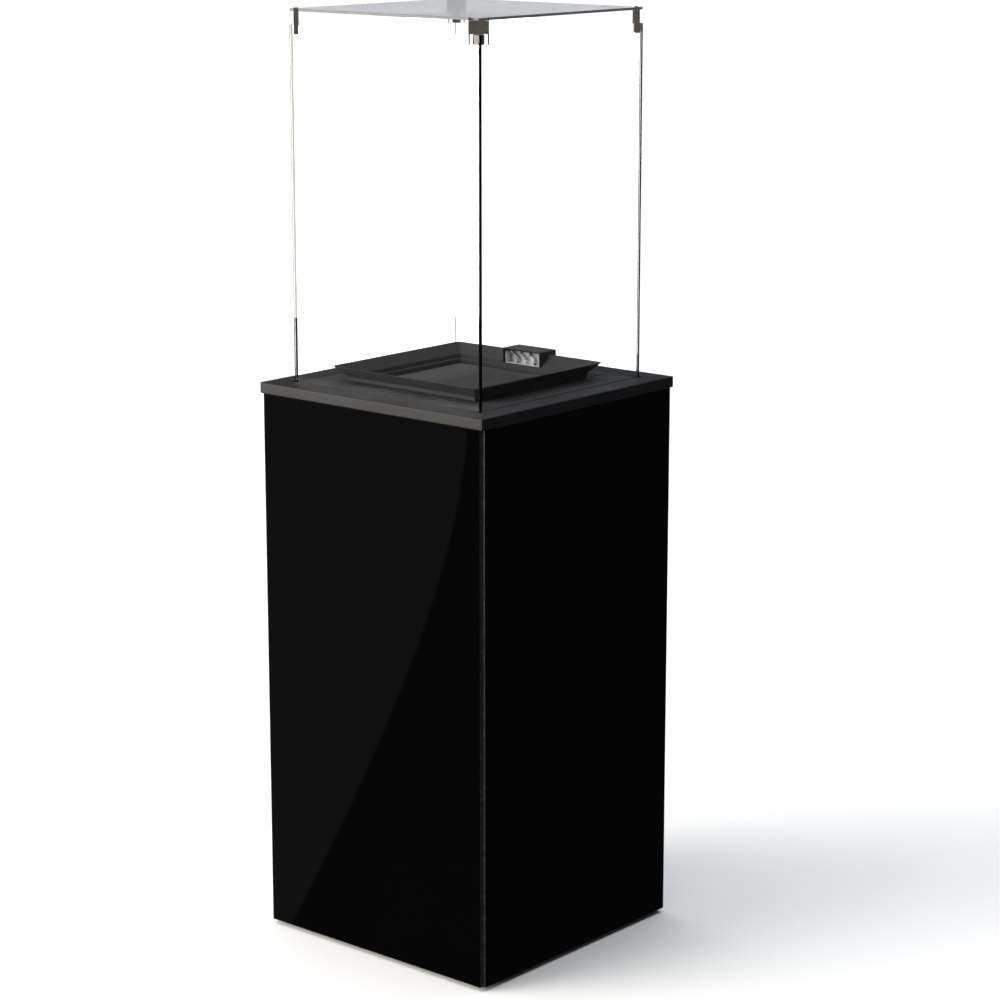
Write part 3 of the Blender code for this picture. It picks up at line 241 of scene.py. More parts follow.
scaled = add(edge_wear_and_highlight, "Math", {0: wear_and_highlight.outputs[0], 1: given.outputs["Amount"]}, operation="MULTIPLY")
edge_wear_and_highlight.links.new(scaled.outputs[0], made.inputs["Mask"])


def finish(name, dark, light, rough, metallic=0.0, fine=900.0, broad=9.0, stretch=(1, 1, 1), depth=0.00003,
           wear_and_highlight=None, wear_and_highlight_amount=0.5, **sockets):
    """A surface whose tone moves between two colours and whose roughness moves between two values, with a
    fine raised grain and, where given, edges that show another colour."""
    material = bpy.data.materials.new(name)
    material.use_nodes = True
    tree = material.node_tree
    shader = tree.nodes["Principled BSDF"]
    body = add(tree, "Group", node_tree=grain)
    body.inputs["Fine Scale"].default_value = fine
    body.inputs["Broad Scale"].default_value = broad
    body.inputs["Stretch"].default_value = stretch
    two_tones = {0: body.outputs["Tone"], 6: (*dark, 1.0), 7: (*light, 1.0)}
    colour = add(tree, "Mix", two_tones, data_type="RGBA").outputs[2]
    if wear_and_highlight:
        edge = add(tree, "Group", node_tree=edge_wear_and_highlight)
        edge.inputs["Amount"].default_value = wear_and_highlight_amount
        at_edges = {0: edge.outputs["Mask"], 6: colour, 7: (*wear_and_highlight, 1.0)}
        colour = add(tree, "Mix", at_edges, data_type="RGBA").outputs[2]
    tree.links.new(colour, shader.inputs["Base Color"])
    sheen = add(tree, "MapRange", {0: body.outputs["Tone"], 3: rough[0], 4: rough[1]})
    tree.links.new(sheen.outputs[0], shader.inputs["Roughness"])
    raised = add(tree, "Bump", {"Height": body.outputs["Height"], "Strength": 0.6, "Distance": depth})
    tree.links.new(raised.outputs[0], shader.inputs["Normal"])
    shader.inputs["Metallic"].default_value = metallic
    for key, value in sockets.items():
        shader.inputs[key.replace("_", " ")].default_value = value
    material.diffuse_color = (*light, 1.0)
    return material


primed_steel = finish(
    "primed_steel", (0.030, 0.030, 0.032), (0.048, 0.048, 0.051), (0.42, 0.55), 0.2,
    fine=1400.0, broad=14.0, wear_and_highlight=(0.20, 0.20, 0.21), wear_and_highlight_amount=0.35
)


def show(name, mesh, *surfaces, angle=35):
    """Links a finished mesh as a piece at the origin, smooth but for edges sharper than an angle. Each face
    keeps its material number, which counts along the surfaces."""
    numbers = np.zeros(len(mesh.polygons), np.int32)
    mesh.polygons.foreach_get("material_index", numbers)
    mesh.materials.clear()
    for surface in surfaces:
        mesh.materials.append(surface)
    mesh.polygons.foreach_set("material_index", numbers)
    mesh.shade_smooth()
    mesh.set_sharp_from_angle(angle=math.radians(angle))
    piece = bpy.data.objects.new(name, mesh)
    bpy.context.scene.collection.objects.link(piece)
    return piece


def ease(piece, width, segments=2, angle=30):
    """Rounds every edge sharper than an angle over a width. Large faces then lead the shading, so that they
    stay flat up to their rounded edges."""
    bevel = piece.modifiers.new("eased_edges", "BEVEL")
    bevel.width = width
    bevel.segments = segments
    bevel.limit_method = "ANGLE"
    bevel.angle_limit = math.radians(angle)
    weighted = piece.modifiers.new("flat_faces", "WEIGHTED_NORMAL")
    weighted.mode = "FACE_AREA"
    weighted.weight = 100
    weighted.keep_sharp = True
    return piece


def whole(node):
    """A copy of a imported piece's mesh with its loose triangles merged and its flat faces made one again."""
    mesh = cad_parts[node].data.copy()
    shell = bmesh.new()
    shell.from_mesh(mesh)
    bmesh.ops.remove_doubles(shell, verts=shell.verts, dist=2e-6)
    bmesh.ops.dissolve_limit(shell, angle_limit=math.radians(1), verts=shell.verts, edges=shell.edges)
    shell.to_mesh(mesh)
    shell.free()
    return mesh


corners = {"front_left": (-1, -1), "front_right": (1, -1), "rear_left": (-1, 1), "rear_right": (1, 1)}
folded = {"base_plate": 0.0008}
folded.update({f"post_{corner}": 0.0006 for corner in corners})
folded.update({f"rail_{side}": 0.0006 for side in ("front", "rear", "left", "right")})
folded.update({f"{side}_backing_sheet": 0.0002 for side in ("front", "left", "right")})
for node, radius in folded.items():
    piece = ease(show(f"{node}_primed", whole(node), primed_steel), radius)
    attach(piece, "cabinet")
    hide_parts(node)

# ---- screws
# Zinc-plated button-head screws with a hexagon socket hold the front and rear rails to the posts.


def skin(name, rings, ends="capped"):
    """A surface through a stack of closed outlines, point j of outline i being rings[i, j]. Quads join each
    outline to the next. Capped ends are closed by flat faces, a ring joins its last outline to its first,
    and open ends stay open."""
    rings = np.asarray(rings, float)
    count, around, _ = rings.shape
    i, j = np.meshgrid(np.arange(count if ends == "ring" else count - 1), np.arange(around), indexing="ij")
    after, beyond = (j + 1) % around, (i + 1) % count
    quads = np.stack([i * around + j, i * around + after, beyond * around + after, beyond * around + j], -1)
    faces = quads.reshape(-1, 4).tolist()
    if ends == "capped":
        faces += [list(range(around))[::-1], list(range((count - 1) * around, count * around))]
    mesh = bpy.data.meshes.new(name)
    mesh.from_pydata(rings.reshape(-1, 3).tolist(), [], faces)
    return outward(mesh)


def outward(mesh, merge=1e-7):
    """Merges doubled points and turns every face outwards."""
    shell = bmesh.new()
    shell.from_mesh(mesh)
    bmesh.ops.remove_doubles(shell, verts=shell.verts, dist=merge)
    bmesh.ops.dissolve_degenerate(shell, edges=shell.edges, dist=merge)
    bmesh.ops.recalc_face_normals(shell, faces=shell.faces)
    shell.to_mesh(mesh)
    shell.free()
    return mesh


def turned(name, profile, centre, axis, steps=32, ends="capped", hexed=None):
    """A profile of (radius, distance) rows turned round an axis through a point: at angle t the two other
    coordinates are radius times cos t and sin t. hexed draws each row towards a hexagon, 1 being one
    whose flats lie at the row's radius."""
    profile = np.asarray(profile, float)
    t = 2 * np.pi * np.arange(steps) / steps
    flats = 1 / np.cos((t + np.pi / 6) % (np.pi / 3) - np.pi / 6)
    share = np.zeros(len(profile)) if hexed is None else np.asarray(hexed, float)
    radius = profile[:, :1] * (1 + share[:, None] * (flats[None] - 1))
    a, b = radius * np.cos(t), radius * np.sin(t)
    along = np.broadcast_to(profile[:, 1:], a.shape)
    rows = {"X": (along, a, b), "Y": (b, along, a), "Z": (a, b, along)}[axis]
    return skin(name, np.stack(rows, -1) + np.asarray(centre, float), ends)


def joined(name, meshes):
    """Several closed meshes as one, each keeping its own points and material numbers."""
    whole_mesh = bmesh.new()
    for mesh in meshes:
        whole_mesh.from_mesh(mesh)
    made = bpy.data.meshes.new(name)
    whole_mesh.to_mesh(made)
    whole_mesh.free()
    return made


zinc_plate = finish(
    "zinc_plate", (0.42, 0.43, 0.46), (0.58, 0.59, 0.61), (0.22, 0.40), 1.0,
    fine=700.0, broad=40.0, wear_and_highlight=(0.75, 0.76, 0.78), wear_and_highlight_amount=0.4
)


def screw(centre, axis, sign, radius=0.0032):
    """A low domed head on a face, with its hexagon socket sunk in the middle."""
    rise = radius * 0.55
    profile = [
        (radius, 0.0), (radius * 0.97, rise * 0.45), (radius * 0.80, rise * 0.85), (radius * 0.60, rise),
        (radius * 0.40, rise), (radius * 0.40, rise * 0.25),
    ]
    profile = np.array(profile) * (1, sign)
    return turned("screw", profile, centre, axis, 24, hexed=(0, 0, 0, 0, 1, 1))


rail_sheet, screw_reach = 0.002, 0.208
rail_low, rail_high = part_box("rail_front")
rail_level = (rail_high.z + rail_low.z) / 2
inner_face = rail_low.y + rail_sheet
heads = [screw((sx * screw_reach, inner_face, rail_level), "Y", 1) for sx in (-1, 1)]
rail_low, rail_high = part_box("rail_rear")
inner_face = rail_high.y - rail_sheet
heads += [screw((sx * screw_reach, inner_face, rail_level), "Y", -1) for sx in (-1, 1)]
frame_screws = show("frame_screws", joined("frame_screws", heads), zinc_plate)
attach(frame_screws, "cabinet")

# ---- feet
# Four moulded rubber feet push into the base tray. Each has a grooved sole and a rounded rim.

rubber_black = finish(
    "rubber_black", (0.012, 0.012, 0.012), (0.022, 0.022, 0.022), (0.70, 0.85),
    fine=500.0, broad=30.0, depth=0.00006
)


def eased(points, radius, steps=3, closed=True):
    """A line of points with every corner rounded: between the two points one radius away along its sides,
    each corner P becomes the curve (1-t)^2 A + 2t(1-t) P + t^2 C."""
    points = np.asarray(points, float)
    radius = np.broadcast_to(np.asarray(radius, float), len(points))[:, None]
    back, on = np.roll(points, 1, 0) - points, np.roll(points, -1, 0) - points
    if not closed:
        back[0], on[-1] = 0, 0
    far_back = np.linalg.norm(back, axis=1, keepdims=True)
    far_on = np.linalg.norm(on, axis=1, keepdims=True)
    start = points + back / np.maximum(far_back, 1e-9) * np.minimum(radius, far_back * 0.499)
    stop = points + on / np.maximum(far_on, 1e-9) * np.minimum(radius, far_on * 0.499)
    t = np.linspace(0, 1, steps + 1)[None, :, None]
    curve = (1 - t) ** 2 * start[:, None] + 2 * t * (1 - t) * points[:, None] + t**2 * stop[:, None]
    return curve.reshape(-1, points.shape[1])


foot_step, stem, sole = 0.0077, 0.008, 0.0006
for corner in corners:
    low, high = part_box(f"foot_{corner}")
    centre = ((low.x + high.x) / 2, (low.y + high.y) / 2, 0)
    radius = (high.x - low.x) / 2
    outline = [
        (0.0, sole), (0.010, sole), (0.0105, 0.0), (0.013, 0.0), (0.0135, 2 * sole), (0.0155, 2 * sole),
        (0.016, 0.0), (radius - 0.002, 0.0), (radius, 0.002), (radius, foot_step), (stem, foot_step),
        (stem, high.z), (0.0, high.z),
    ]
    sizes = [0, *[0.0003] * 6, 0.0008, 0.0008, 0.0006, 0.0004, 0.0008, 0]
    outline = eased(outline, sizes, closed=False)
    foot = show(f"rubber_foot_{corner}", turned(f"foot_{corner}", outline, centre, "Z", 48), rubber_black)
    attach(foot, "cabinet")
    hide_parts(f"foot_{corner}")

# ---- glass cladding
# Float glass 4 mm thick, painted black on the back and bonded to the sheets, with ground and
# polished edges that show the glass's own grey green.


def plate(name, low, high, axis, holes=(), corner=0.001):
    """A flat sheet cut to a rounded rectangle with round holes, each (a, b, radius), through its thickness
    along an axis."""
    low, high = np.asarray(low, float), np.asarray(high, float)
    across = [k for k in range(3) if k != "XYZ".index(axis)]
    (a0, b0), (a1, b1) = low[across], high[across]
    outline = eased([(a0, b0), (a1, b0), (a1, b1), (a0, b1)], corner, 3)
    t = 2 * np.pi * np.arange(32) / 32
    rims = [np.stack([a + r * np.cos(t), b + r * np.sin(t)], -1) for a, b, r in holes]
    return cut_sheet(name, [outline, *rims], low["XYZ".index(axis)], high["XYZ".index(axis)], axis)


def cut_sheet(name, loops, bottom, top, axis):
    """A sheet bounded by its first closed outline, with the others as holes, between two levels on an axis:
    the outline is triangulated flat and raised by the thickness."""
    counts = [len(loop) for loop in loops]
    starts = np.cumsum([0, *counts[:-1]])
    edges = [(s + k, s + (k + 1) % n) for s, n in zip(starts, counts) for k in range(n)]
    flat = [Vector(p) for p in np.concatenate(loops)]
    spots, _, faces, *_ = delaunay_2d_cdt(flat, edges, [], 5, 1e-7)
    order = {"X": (2, 0, 1), "Y": (0, 2, 1), "Z": (0, 1, 2)}[axis]
    spread = np.array([(p.x, p.y, bottom) for p in spots])[:, order]
    mesh = bpy.data.meshes.new(name)
    mesh.from_pydata(spread.tolist(), [], faces)
    shell = bmesh.new()
    shell.from_mesh(mesh)
    bmesh.ops.dissolve_limit(shell, angle_limit=0.01, verts=shell.verts, edges=shell.edges)
    raised = bmesh.ops.extrude_face_region(shell, geom=shell.faces[:])
    lift = Vector([(top - bottom) * (axis == letter) for letter in "XYZ"])
    lifted = [v for v in raised["geom"] if isinstance(v, bmesh.types.BMVert)]
    bmesh.ops.translate(shell, vec=lift, verts=lifted)
    bmesh.ops.recalc_face_normals(shell, faces=shell.faces)
    shell.to_mesh(mesh)
    shell.free()
    return mesh


def glass_edges(mesh, axis, top=1):
    """Gives the faces that don't lie across an axis the second material, the cut edge's, and those of them
    that face up the material numbered top."""
    normals = np.zeros(len(mesh.polygons) * 3)
    mesh.polygons.foreach_get("normal", normals)
    normals = normals.reshape(-1, 3)
    cut_faces = np.abs(normals[:, "XYZ".index(axis)]) < 0.9
    numbers = np.where(cut_faces & (normals[:, 2] > 0.7), top, cut_faces.astype(int))
    mesh.polygons.foreach_set("material_index", numbers.astype(np.int32))
    return mesh


black_glass = finish(
    "black_glass", (0.0004, 0.0004, 0.0005), (0.0008, 0.0008, 0.0009), (0.0, 0.015),
    fine=6.0, broad=3.0, depth=0.000004, Specular_IOR_Level=0.5, IOR=1.5
)
ground_edge = finish(
    "ground_edge", (0.020, 0.024, 0.023), (0.034, 0.038, 0.036), (0.18, 0.32),
    fine=600.0, broad=60.0, depth=0.00001
)
for side, axis in (("front", "Y"), ("left", "X"), ("right", "X")):
    low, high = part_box(f"{side}_glass_panel")
    mesh = glass_edges(plate(f"{side}_cladding", low, high, axis), axis)
    panel = ease(show(f"{side}_cladding_glass", mesh, black_glass, ground_edge), 0.0005)
    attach(panel, "cabinet")
    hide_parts(f"{side}_glass_panel")

# ---- lid
# One frame of 2 mm steel, folded down at its edge and back under it, welded at the corners and
# powder coated in a fine-textured anthracite. It is pierced at its corners and for the sensor.


def carried(name, profile, corner, ends="ring", steps=4):
    """A profile of (half width, height) rows carried round a square: each row becomes a square of that half
    width whose corners are rounded by the corner radius, less for rows further in."""
    profile = np.asarray(profile, float)
    outer = profile[:, 0].max()
    t = np.pi / 2 * np.arange(steps + 1) / steps
    signs = np.array([(1, 1), (-1, 1), (-1, -1), (1, -1)])
    turn = np.pi / 2 * np.arange(4)[:, None] + t[None]
    radius = np.maximum(corner - (outer - profile[:, 0]), 0.0004)[:, None, None]
    core = profile[:, 0][:, None, None] - radius
    x = signs[None, :, :1] * core + radius * np.cos(turn)[None]
    y = signs[None, :, 1:] * core + radius * np.sin(turn)[None]
    z = np.broadcast_to(profile[:, 1][:, None, None], x.shape)
    return skin(name, np.stack([x, y, z], -1).reshape(len(profile), -1, 3), ends)


def cut(piece_mesh, *cutters):
    """Takes closed shapes away from a mesh for good."""
    piece = bpy.data.objects.new("blank", piece_mesh)
    bpy.context.scene.collection.objects.link(piece)
    tools = []
    for cutter in cutters:
        tool = bpy.data.objects.new("tool", cutter)
        bpy.context.scene.collection.objects.link(tool)
        tools.append(tool)
        step = piece.modifiers.new("cut", "BOOLEAN")
        step.operation = "DIFFERENCE"
        step.solver = "EXACT"
        step.object = tool
    done = bpy.data.meshes.new_from_object(piece.evaluated_get(bpy.context.evaluated_depsgraph_get()))
    for spent in (piece, *tools):
        bpy.data.objects.remove(spent)
    return done


def block(low, high):
    """A plain cutting block between two corners."""
    x, y, z = np.array([low, high], float).T
    ring = np.array([(x[0], y[0]), (x[1], y[0]), (x[1], y[1]), (x[0], y[1])])
    rings = [np.column_stack([ring, np.full(4, level)]) for level in z]
    return skin("block", rings)


# The lighter colour at its rounded edges is a painted highlight along the lid's edges, with some wear.
powder_coat = finish(
    "powder_coat", (0.0125, 0.0129, 0.0158), (0.0170, 0.0176, 0.0210), (0.42, 0.52),
    fine=1100.0, broad=11.0, depth=0.00005, wear_and_highlight=(0.16, 0.155, 0.15), wear_and_highlight_amount=0.8, Specular_IOR_Level=0.25
)
lid_low, lid_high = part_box("top_lid")
lid_half, lid_top, lid_under = lid_high.x, lid_high.z, lid_low.z
lid_inner, lid_sheet, lid_return = 0.1983, 0.002, 0.009
lid_profile = [
    (lid_inner, lid_top), (lid_half, lid_top), (lid_half, lid_under), (lid_half - lid_return, lid_under),
    (lid_half - lid_return, lid_under + lid_sheet), (lid_half - lid_sheet, lid_under + lid_sheet),
    (lid_half - lid_sheet, lid_top - lid_sheet), (lid_inner, lid_top - lid_sheet),
]
bends = [0.0004, 0.0022, 0.0016, 0.0003, 0.0003, 0.0005, 0.0008, 0.0003]
lid_mesh = carried("lid", eased(lid_profile, bends, 4), 0.0024)


def drill(radius, low, high, centre, axis, steps=32):
    """A plain round cutting shape of a radius, between two levels on an axis."""
    return turned("drill", [(radius, low), (radius, high)], centre, axis, steps)


eye_low, eye_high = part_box("sensor_lens")
eye_centre = ((eye_low.x + eye_high.x) / 2, (eye_low.y + eye_high.y) / 2, 0)
eye_radius = (eye_high.x - eye_low.x) / 2
through = (lid_top - 0.004, lid_top + 0.004)
relief_holes = ((0.0006, 0.0046), (0.0078, 0.0015))
pierced = []
for sx, sy in corners.values():
    for offset, radius in relief_holes:
        reach = lid_inner + offset
        pierced.append(drill(radius, *through, (sx * reach, sy * reach, 0), "Z"))
pierced.append(drill(eye_radius + 0.0003, *through, eye_centre, "Z"))
lid = ease(show("powder_coated_lid", cut(lid_mesh, *pierced), powder_coat), 0.0002, 1, 50)
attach(lid, "cabinet")
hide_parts("top_lid")

dark_lens = finish(
    "dark_lens", (0.006, 0.003, 0.004), (0.012, 0.006, 0.007), (0.04, 0.08),
    fine=200.0, broad=80.0, depth=0.000005, Coat_Weight=0.5
)
rise = np.radians([0, 20, 40, 60, 80])
domed = lid_top + (eye_high.z - lid_top) * np.sin(rise)
dome = [(eye_radius, eye_low.z), *zip(eye_radius * np.cos(rise), domed)]
eye = show("sensor_eye", turned("sensor_eye", dome, eye_centre, "Z", 24), dark_lens)
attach(eye, "cabinet")
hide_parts("sensor_lens")

# ---- deck
# The slotted steel plate inside the panes, laser cut, folded down into the channel that they stand
# in, with a powder coat a shade lighter than the lid's.

# As on the lid, the lighter colour at its rounded edges is a painted highlight, with some wear.
deck_coat = finish(
    "deck_coat", (0.034, 0.0345, 0.038), (0.046, 0.0465, 0.050), (0.42, 0.54),
    fine=1100.0, broad=9.0, depth=0.00005, wear_and_highlight=(0.16, 0.155, 0.15), wear_and_highlight_amount=0.8, Specular_IOR_Level=0.25
)
deck = ease(show("slotted_deck", whole("burner_deck"), deck_coat), 0.0004)
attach(deck, "cabinet")
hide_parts("burner_deck")

# ---- tray and burner
# A pressed pan with a sloping brim, in heat-resistant matt paint, notched at the rear for the pilot.
# A ported plate closes the opening in its floor, and the gas chamber hangs under it.

# The lighter colour at its rounded edges is a painted highlight, such as the bright line along the brim's top
# edge, with some wear.
stove_paint = finish(
    "stove_paint", (0.050, 0.050, 0.053), (0.066, 0.066, 0.070), (0.42, 0.54),
    fine=800.0, broad=7.0, depth=0.00005, wear_and_highlight=(0.20, 0.18, 0.16), wear_and_highlight_amount=0.8, Specular_IOR_Level=0.25
)
tray_low, tray_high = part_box("burner_tray")
rim, rim_top, tray_bottom = tray_high.x, tray_high.z, tray_low.z
wall, neck, sheet, floor_top = 0.1363, 0.1313, 0.0015, 0.9206
ledge, fold = lid_top + 0.0003, lid_top + 0.0075
tray_profile = [
    (neck, tray_bottom), (neck, ledge), (wall, ledge), (wall, fold), (rim, rim_top), (rim - 0.0022, rim_top),
    (wall - sheet, fold + 0.0006), (wall - sheet, ledge + sheet), (neck - sheet, ledge + sheet),
    (neck - sheet, floor_top),
]
tray_bends = [0.0012, 0.0005, 0.0016, 0.002, 0.0006, 0.0006, 0.002, 0.0012, 0.0016, 0.0012]
tray_mesh = carried("tray", eased(tray_profile, tray_bends, 3), 0.008, "capped", 5)
opening_low, opening_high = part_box("burner_plate")
hood_low, hood_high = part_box("pilot_hood")
play, notch_floor, clear_above, clear_behind = 0.0003, 0.9309, 0.97, 0.17
floor_opening = block(
    (opening_low.x - play, opening_low.y - play, tray_bottom - 0.01),
    (opening_high.x + play, opening_high.y + play, 0.94),
)
hood_notch = block(
    (hood_low.x - play, hood_low.y - play, notch_floor), (hood_high.x + play, clear_behind, clear_above)
)
tray_mesh = cut(tray_mesh, floor_opening, hood_notch)
tray = ease(show("burner_pan", tray_mesh, stove_paint), 0.0003, 1, 50)
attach(tray, "cabinet")
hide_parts("burner_tray")

hot_plate = finish(
    "hot_plate", (0.034, 0.0335, 0.034), (0.052, 0.050, 0.048), (0.42, 0.54),
    fine=700.0, broad=22.0, depth=0.00005, wear_and_highlight=(0.16, 0.14, 0.12), wear_and_highlight_amount=0.7, Specular_IOR_Level=0.25
)
ported = ease(show("ported_plate", whole("burner_plate"), hot_plate), 0.0003, 1)
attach(ported, "cabinet")
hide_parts("burner_plate")

zinc_sheet = finish(
    "zinc_sheet", (0.36, 0.37, 0.39), (0.60, 0.61, 0.63), (0.25, 0.45), 1.0,
    fine=300.0, broad=55.0, depth=0.00002, wear_and_highlight=(0.70, 0.71, 0.73), wear_and_highlight_amount=0.3
)
chamber = ease(show("gas_chamber", whole("burner_chamber"), zinc_sheet), 0.001)
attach(chamber, "cabinet")
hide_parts("burner_chamber")

# ---- pilot
# A folded hood stands over the pilot at the rear of the tray. Its bright bracket, with a flange at the
# left, carries the pilot tube, the thermocouple and the spark electrode, all leaning the same way.

hood = ease(show("pilot_cover", whole("pilot_hood"), stove_paint), 0.0008, 3)
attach(hood, "cabinet")
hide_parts("pilot_hood")
mirror_zinc = finish(
    "mirror_zinc", (0.70, 0.73, 0.79), (0.84, 0.86, 0.91), (0.12, 0.25), 0.35,
    fine=400.0, broad=60.0, depth=0.00001
)
bent_low, bent_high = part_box("pilot_bracket")
flange_sheet = 0.0012
flange = block(
    (bent_low.x, bent_low.y, bent_low.z + play), (bent_low.x + flange_sheet, bent_high.y - play, bent_high.z)
)
carrier_mesh = joined("pilot_carrier", [whole("pilot_bracket"), flange])
bracket = ease(show("pilot_carrier", carrier_mesh, mirror_zinc), 0.0003)
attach(bracket, "cabinet")
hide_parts("pilot_bracket")


rod_lean, rod_foot = math.radians(38), 0.0026


def leaning(name, node, rows, steps=24):
    """A profile of (radius, distance) rows turned round a line that leans up to the left from the low right
    end of a node's box: place = foot + distance along the line + radius (cos t, sin t) across it."""
    low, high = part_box(node)
    middle = np.array([high.x - rod_foot, (low.y + high.y) / 2, low.z + rod_foot])
    line = np.array([-math.cos(rod_lean), 0.0, math.sin(rod_lean)])
    side = np.array([0.0, 1.0, 0.0])
    up = np.array([math.sin(rod_lean), 0.0, math.cos(rod_lean)])
    rows = np.asarray(rows, float)
    t = 2 * np.pi * np.arange(steps) / steps
    rim = np.cos(t)[:, None] * side + np.sin(t)[:, None] * up
    rings = middle + rows[:, 1][:, None, None] * line + rows[:, 0][:, None, None] * rim[None]
    return skin(name, rings)


def ball(radius, centre, steps=7):
    """Rows of a sphere: radius times sin a, at the centre less radius times cos a, for a from near 0 to near
    180 degrees."""
    a = np.radians(np.linspace(8, 172, steps))
    return list(zip(radius * np.sin(a), centre - radius * np.cos(a)))


bright_tube = finish(
    "bright_tube", (0.50, 0.50, 0.52), (0.66, 0.66, 0.68), (0.18, 0.32), 0.5,
    fine=500.0, broad=90.0, depth=0.00001
)
glazed_ceramic = finish(
    "glazed_ceramic", (0.74, 0.72, 0.68), (0.84, 0.83, 0.80), (0.12, 0.22),
    fine=300.0, broad=70.0, depth=0.00001, Coat_Weight=0.4
)
rods = {
    "pilot_burner": (
        [(0.0018, 0.0), (0.0030, 0.0004), (0.0030, 0.0075), (0.0024, 0.0078), (0.0024, 0.0105),
         (0.0030, 0.0108), (0.0032, 0.0120), *ball(0.0029, 0.0168)], bright_tube, "bright_steel"),
    "thermocouple": (
        [(0.0012, 0.0), (0.0025, 0.0004), (0.0025, 0.0048), (0.0017, 0.0052), (0.0017, 0.0125),
         *ball(0.0026, 0.0165)], bright_tube, "bright_steel"),
    "spark_electrode": (
        [(0.0016, 0.0), (0.0029, 0.0006), (0.0029, 0.0078), (0.0022, 0.0088), (0.0012, 0.0094),
         (0.0012, 0.0120), *ball(0.0034, 0.0155)], glazed_ceramic, "white_ceramic"),
}
for node, (rows, surface, slot) in rods.items():
    rod = show(f"{node}_rod", leaning(node, node, rows), surface)
    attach(rod, "cabinet")
    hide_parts(node)

# ---- glass chamber
# Four panes of clear toughened glass stand in the channel, with polished edges, and a tinted plate
# lies over them with an air gap. Lamps shine through them as through real glass.


def clear(name, tint, low_rough, high_rough):
    """Glass that bends what is seen through it and lets lamp light straight through, with faint smears in
    its roughness."""
    material = bpy.data.materials.new(name)
    material.use_nodes = True
    tree = material.node_tree
    shader = tree.nodes["Principled BSDF"]
    body = add(tree, "Group", node_tree=grain)
    body.inputs["Broad Scale"].default_value = 5.0
    smear = add(tree, "MapRange", {0: body.outputs["Tone"], 3: low_rough, 4: high_rough})
    tree.links.new(smear.outputs[0], shader.inputs["Roughness"])
    shader.inputs["Base Color"].default_value = (*tint, 1.0)
    shader.inputs["Transmission Weight"].default_value = 1.0
    shader.inputs["IOR"].default_value = 1.5
    path = add(tree, "LightPath")
    open_way = add(tree, "BsdfTransparent", {"Color": (*[v**0.5 for v in tint], 1.0)})
    by_ray = {0: path.outputs["Is Shadow Ray"], 1: shader.outputs[0], 2: open_way.outputs[0]}
    both = add(tree, "MixShader", by_ray)
    tree.links.new(both.outputs[0], tree.nodes["Material Output"].inputs["Surface"])
    material.diffuse_color = (*tint, 0.3)
    return material


pane_glass = clear("pane_glass", (0.992, 0.995, 0.993), 0.0, 0.012)
pane_edge = clear("pane_edge", (0.97, 0.98, 0.975), 0.0, 0.02)
pane_rim = finish(
    "pane_rim", (0.15, 0.16, 0.155), (0.20, 0.21, 0.205), (0.40, 0.50),
    fine=600.0, broad=60.0, depth=0.00001, Specular_IOR_Level=0.2
)


def ground_top(mesh, width, number):
    """Takes a slope off the long top edges of an upright sheet and gives the slopes a material number."""
    shell = bmesh.new()
    shell.from_mesh(mesh)
    top = max(v.co.z for v in shell.verts) - 1e-5
    upper = [e for e in shell.edges if min(v.co.z for v in e.verts) > top]
    long_edges = [e for e in upper if e.calc_length() > 0.1]
    slopes = bmesh.ops.bevel(shell, geom=long_edges, offset=width, segments=1, affect="EDGES")
    for face in slopes["faces"]:
        face.material_index = number
    shell.to_mesh(mesh)
    shell.free()
    return mesh


for side, axis in (("front", "Y"), ("rear", "Y"), ("left", "X"), ("right", "X")):
    low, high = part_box(f"pane_{side}")
    mesh = plate(f"pane_{side}", low, high, axis, corner=0.0015)
    mesh = ground_top(glass_edges(mesh, axis, 2), 0.0012, 2)
    pane = ease(show(f"clear_pane_{side}", mesh, pane_glass, pane_edge, pane_rim), 0.0004, 1, 50)
    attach(pane, "cabinet")
    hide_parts(f"pane_{side}")

cover_tint = clear("cover_tint", (0.70, 0.72, 0.76), 0.0, 0.02)
cover_edge = finish(
    "cover_edge", (0.19, 0.195, 0.195), (0.25, 0.255, 0.255), (0.45, 0.55),
    fine=500.0, broad=40.0, depth=0.00001, Specular_IOR_Level=0.2
)
low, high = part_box("cover_glass")
mesh = glass_edges(plate("cover", low, high, "Z", corner=0.003), "Z")
cover = ease(show("tinted_cover", mesh, cover_tint, cover_edge), 0.0006)
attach(cover, "cabinet")
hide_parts("cover_glass")

# Bent channels of polished stainless steel grip the panes at their corners and carry the cover.
polished_steel = finish(
    "polished_steel", (0.44, 0.41, 0.38), (0.58, 0.55, 0.51), (0.16, 0.24), 1.0,
    fine=260.0, broad=30.0, stretch=(1, 1, 8), depth=0.00001, wear_and_highlight=(0.62, 0.60, 0.57), wear_and_highlight_amount=0.5
)
for corner in corners:
    clip = ease(show(f"corner_clip_{corner}", whole(f"bracket_{corner}"), polished_steel), 0.0005, 3)
    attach(clip, "cabinet")
    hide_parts(f"bracket_{corner}")

# ---- door
# A folded steel pan faced with black glass, hung on two lift-off hinges with their axis in the
# corner gap, and held shut by a flush cam lock.

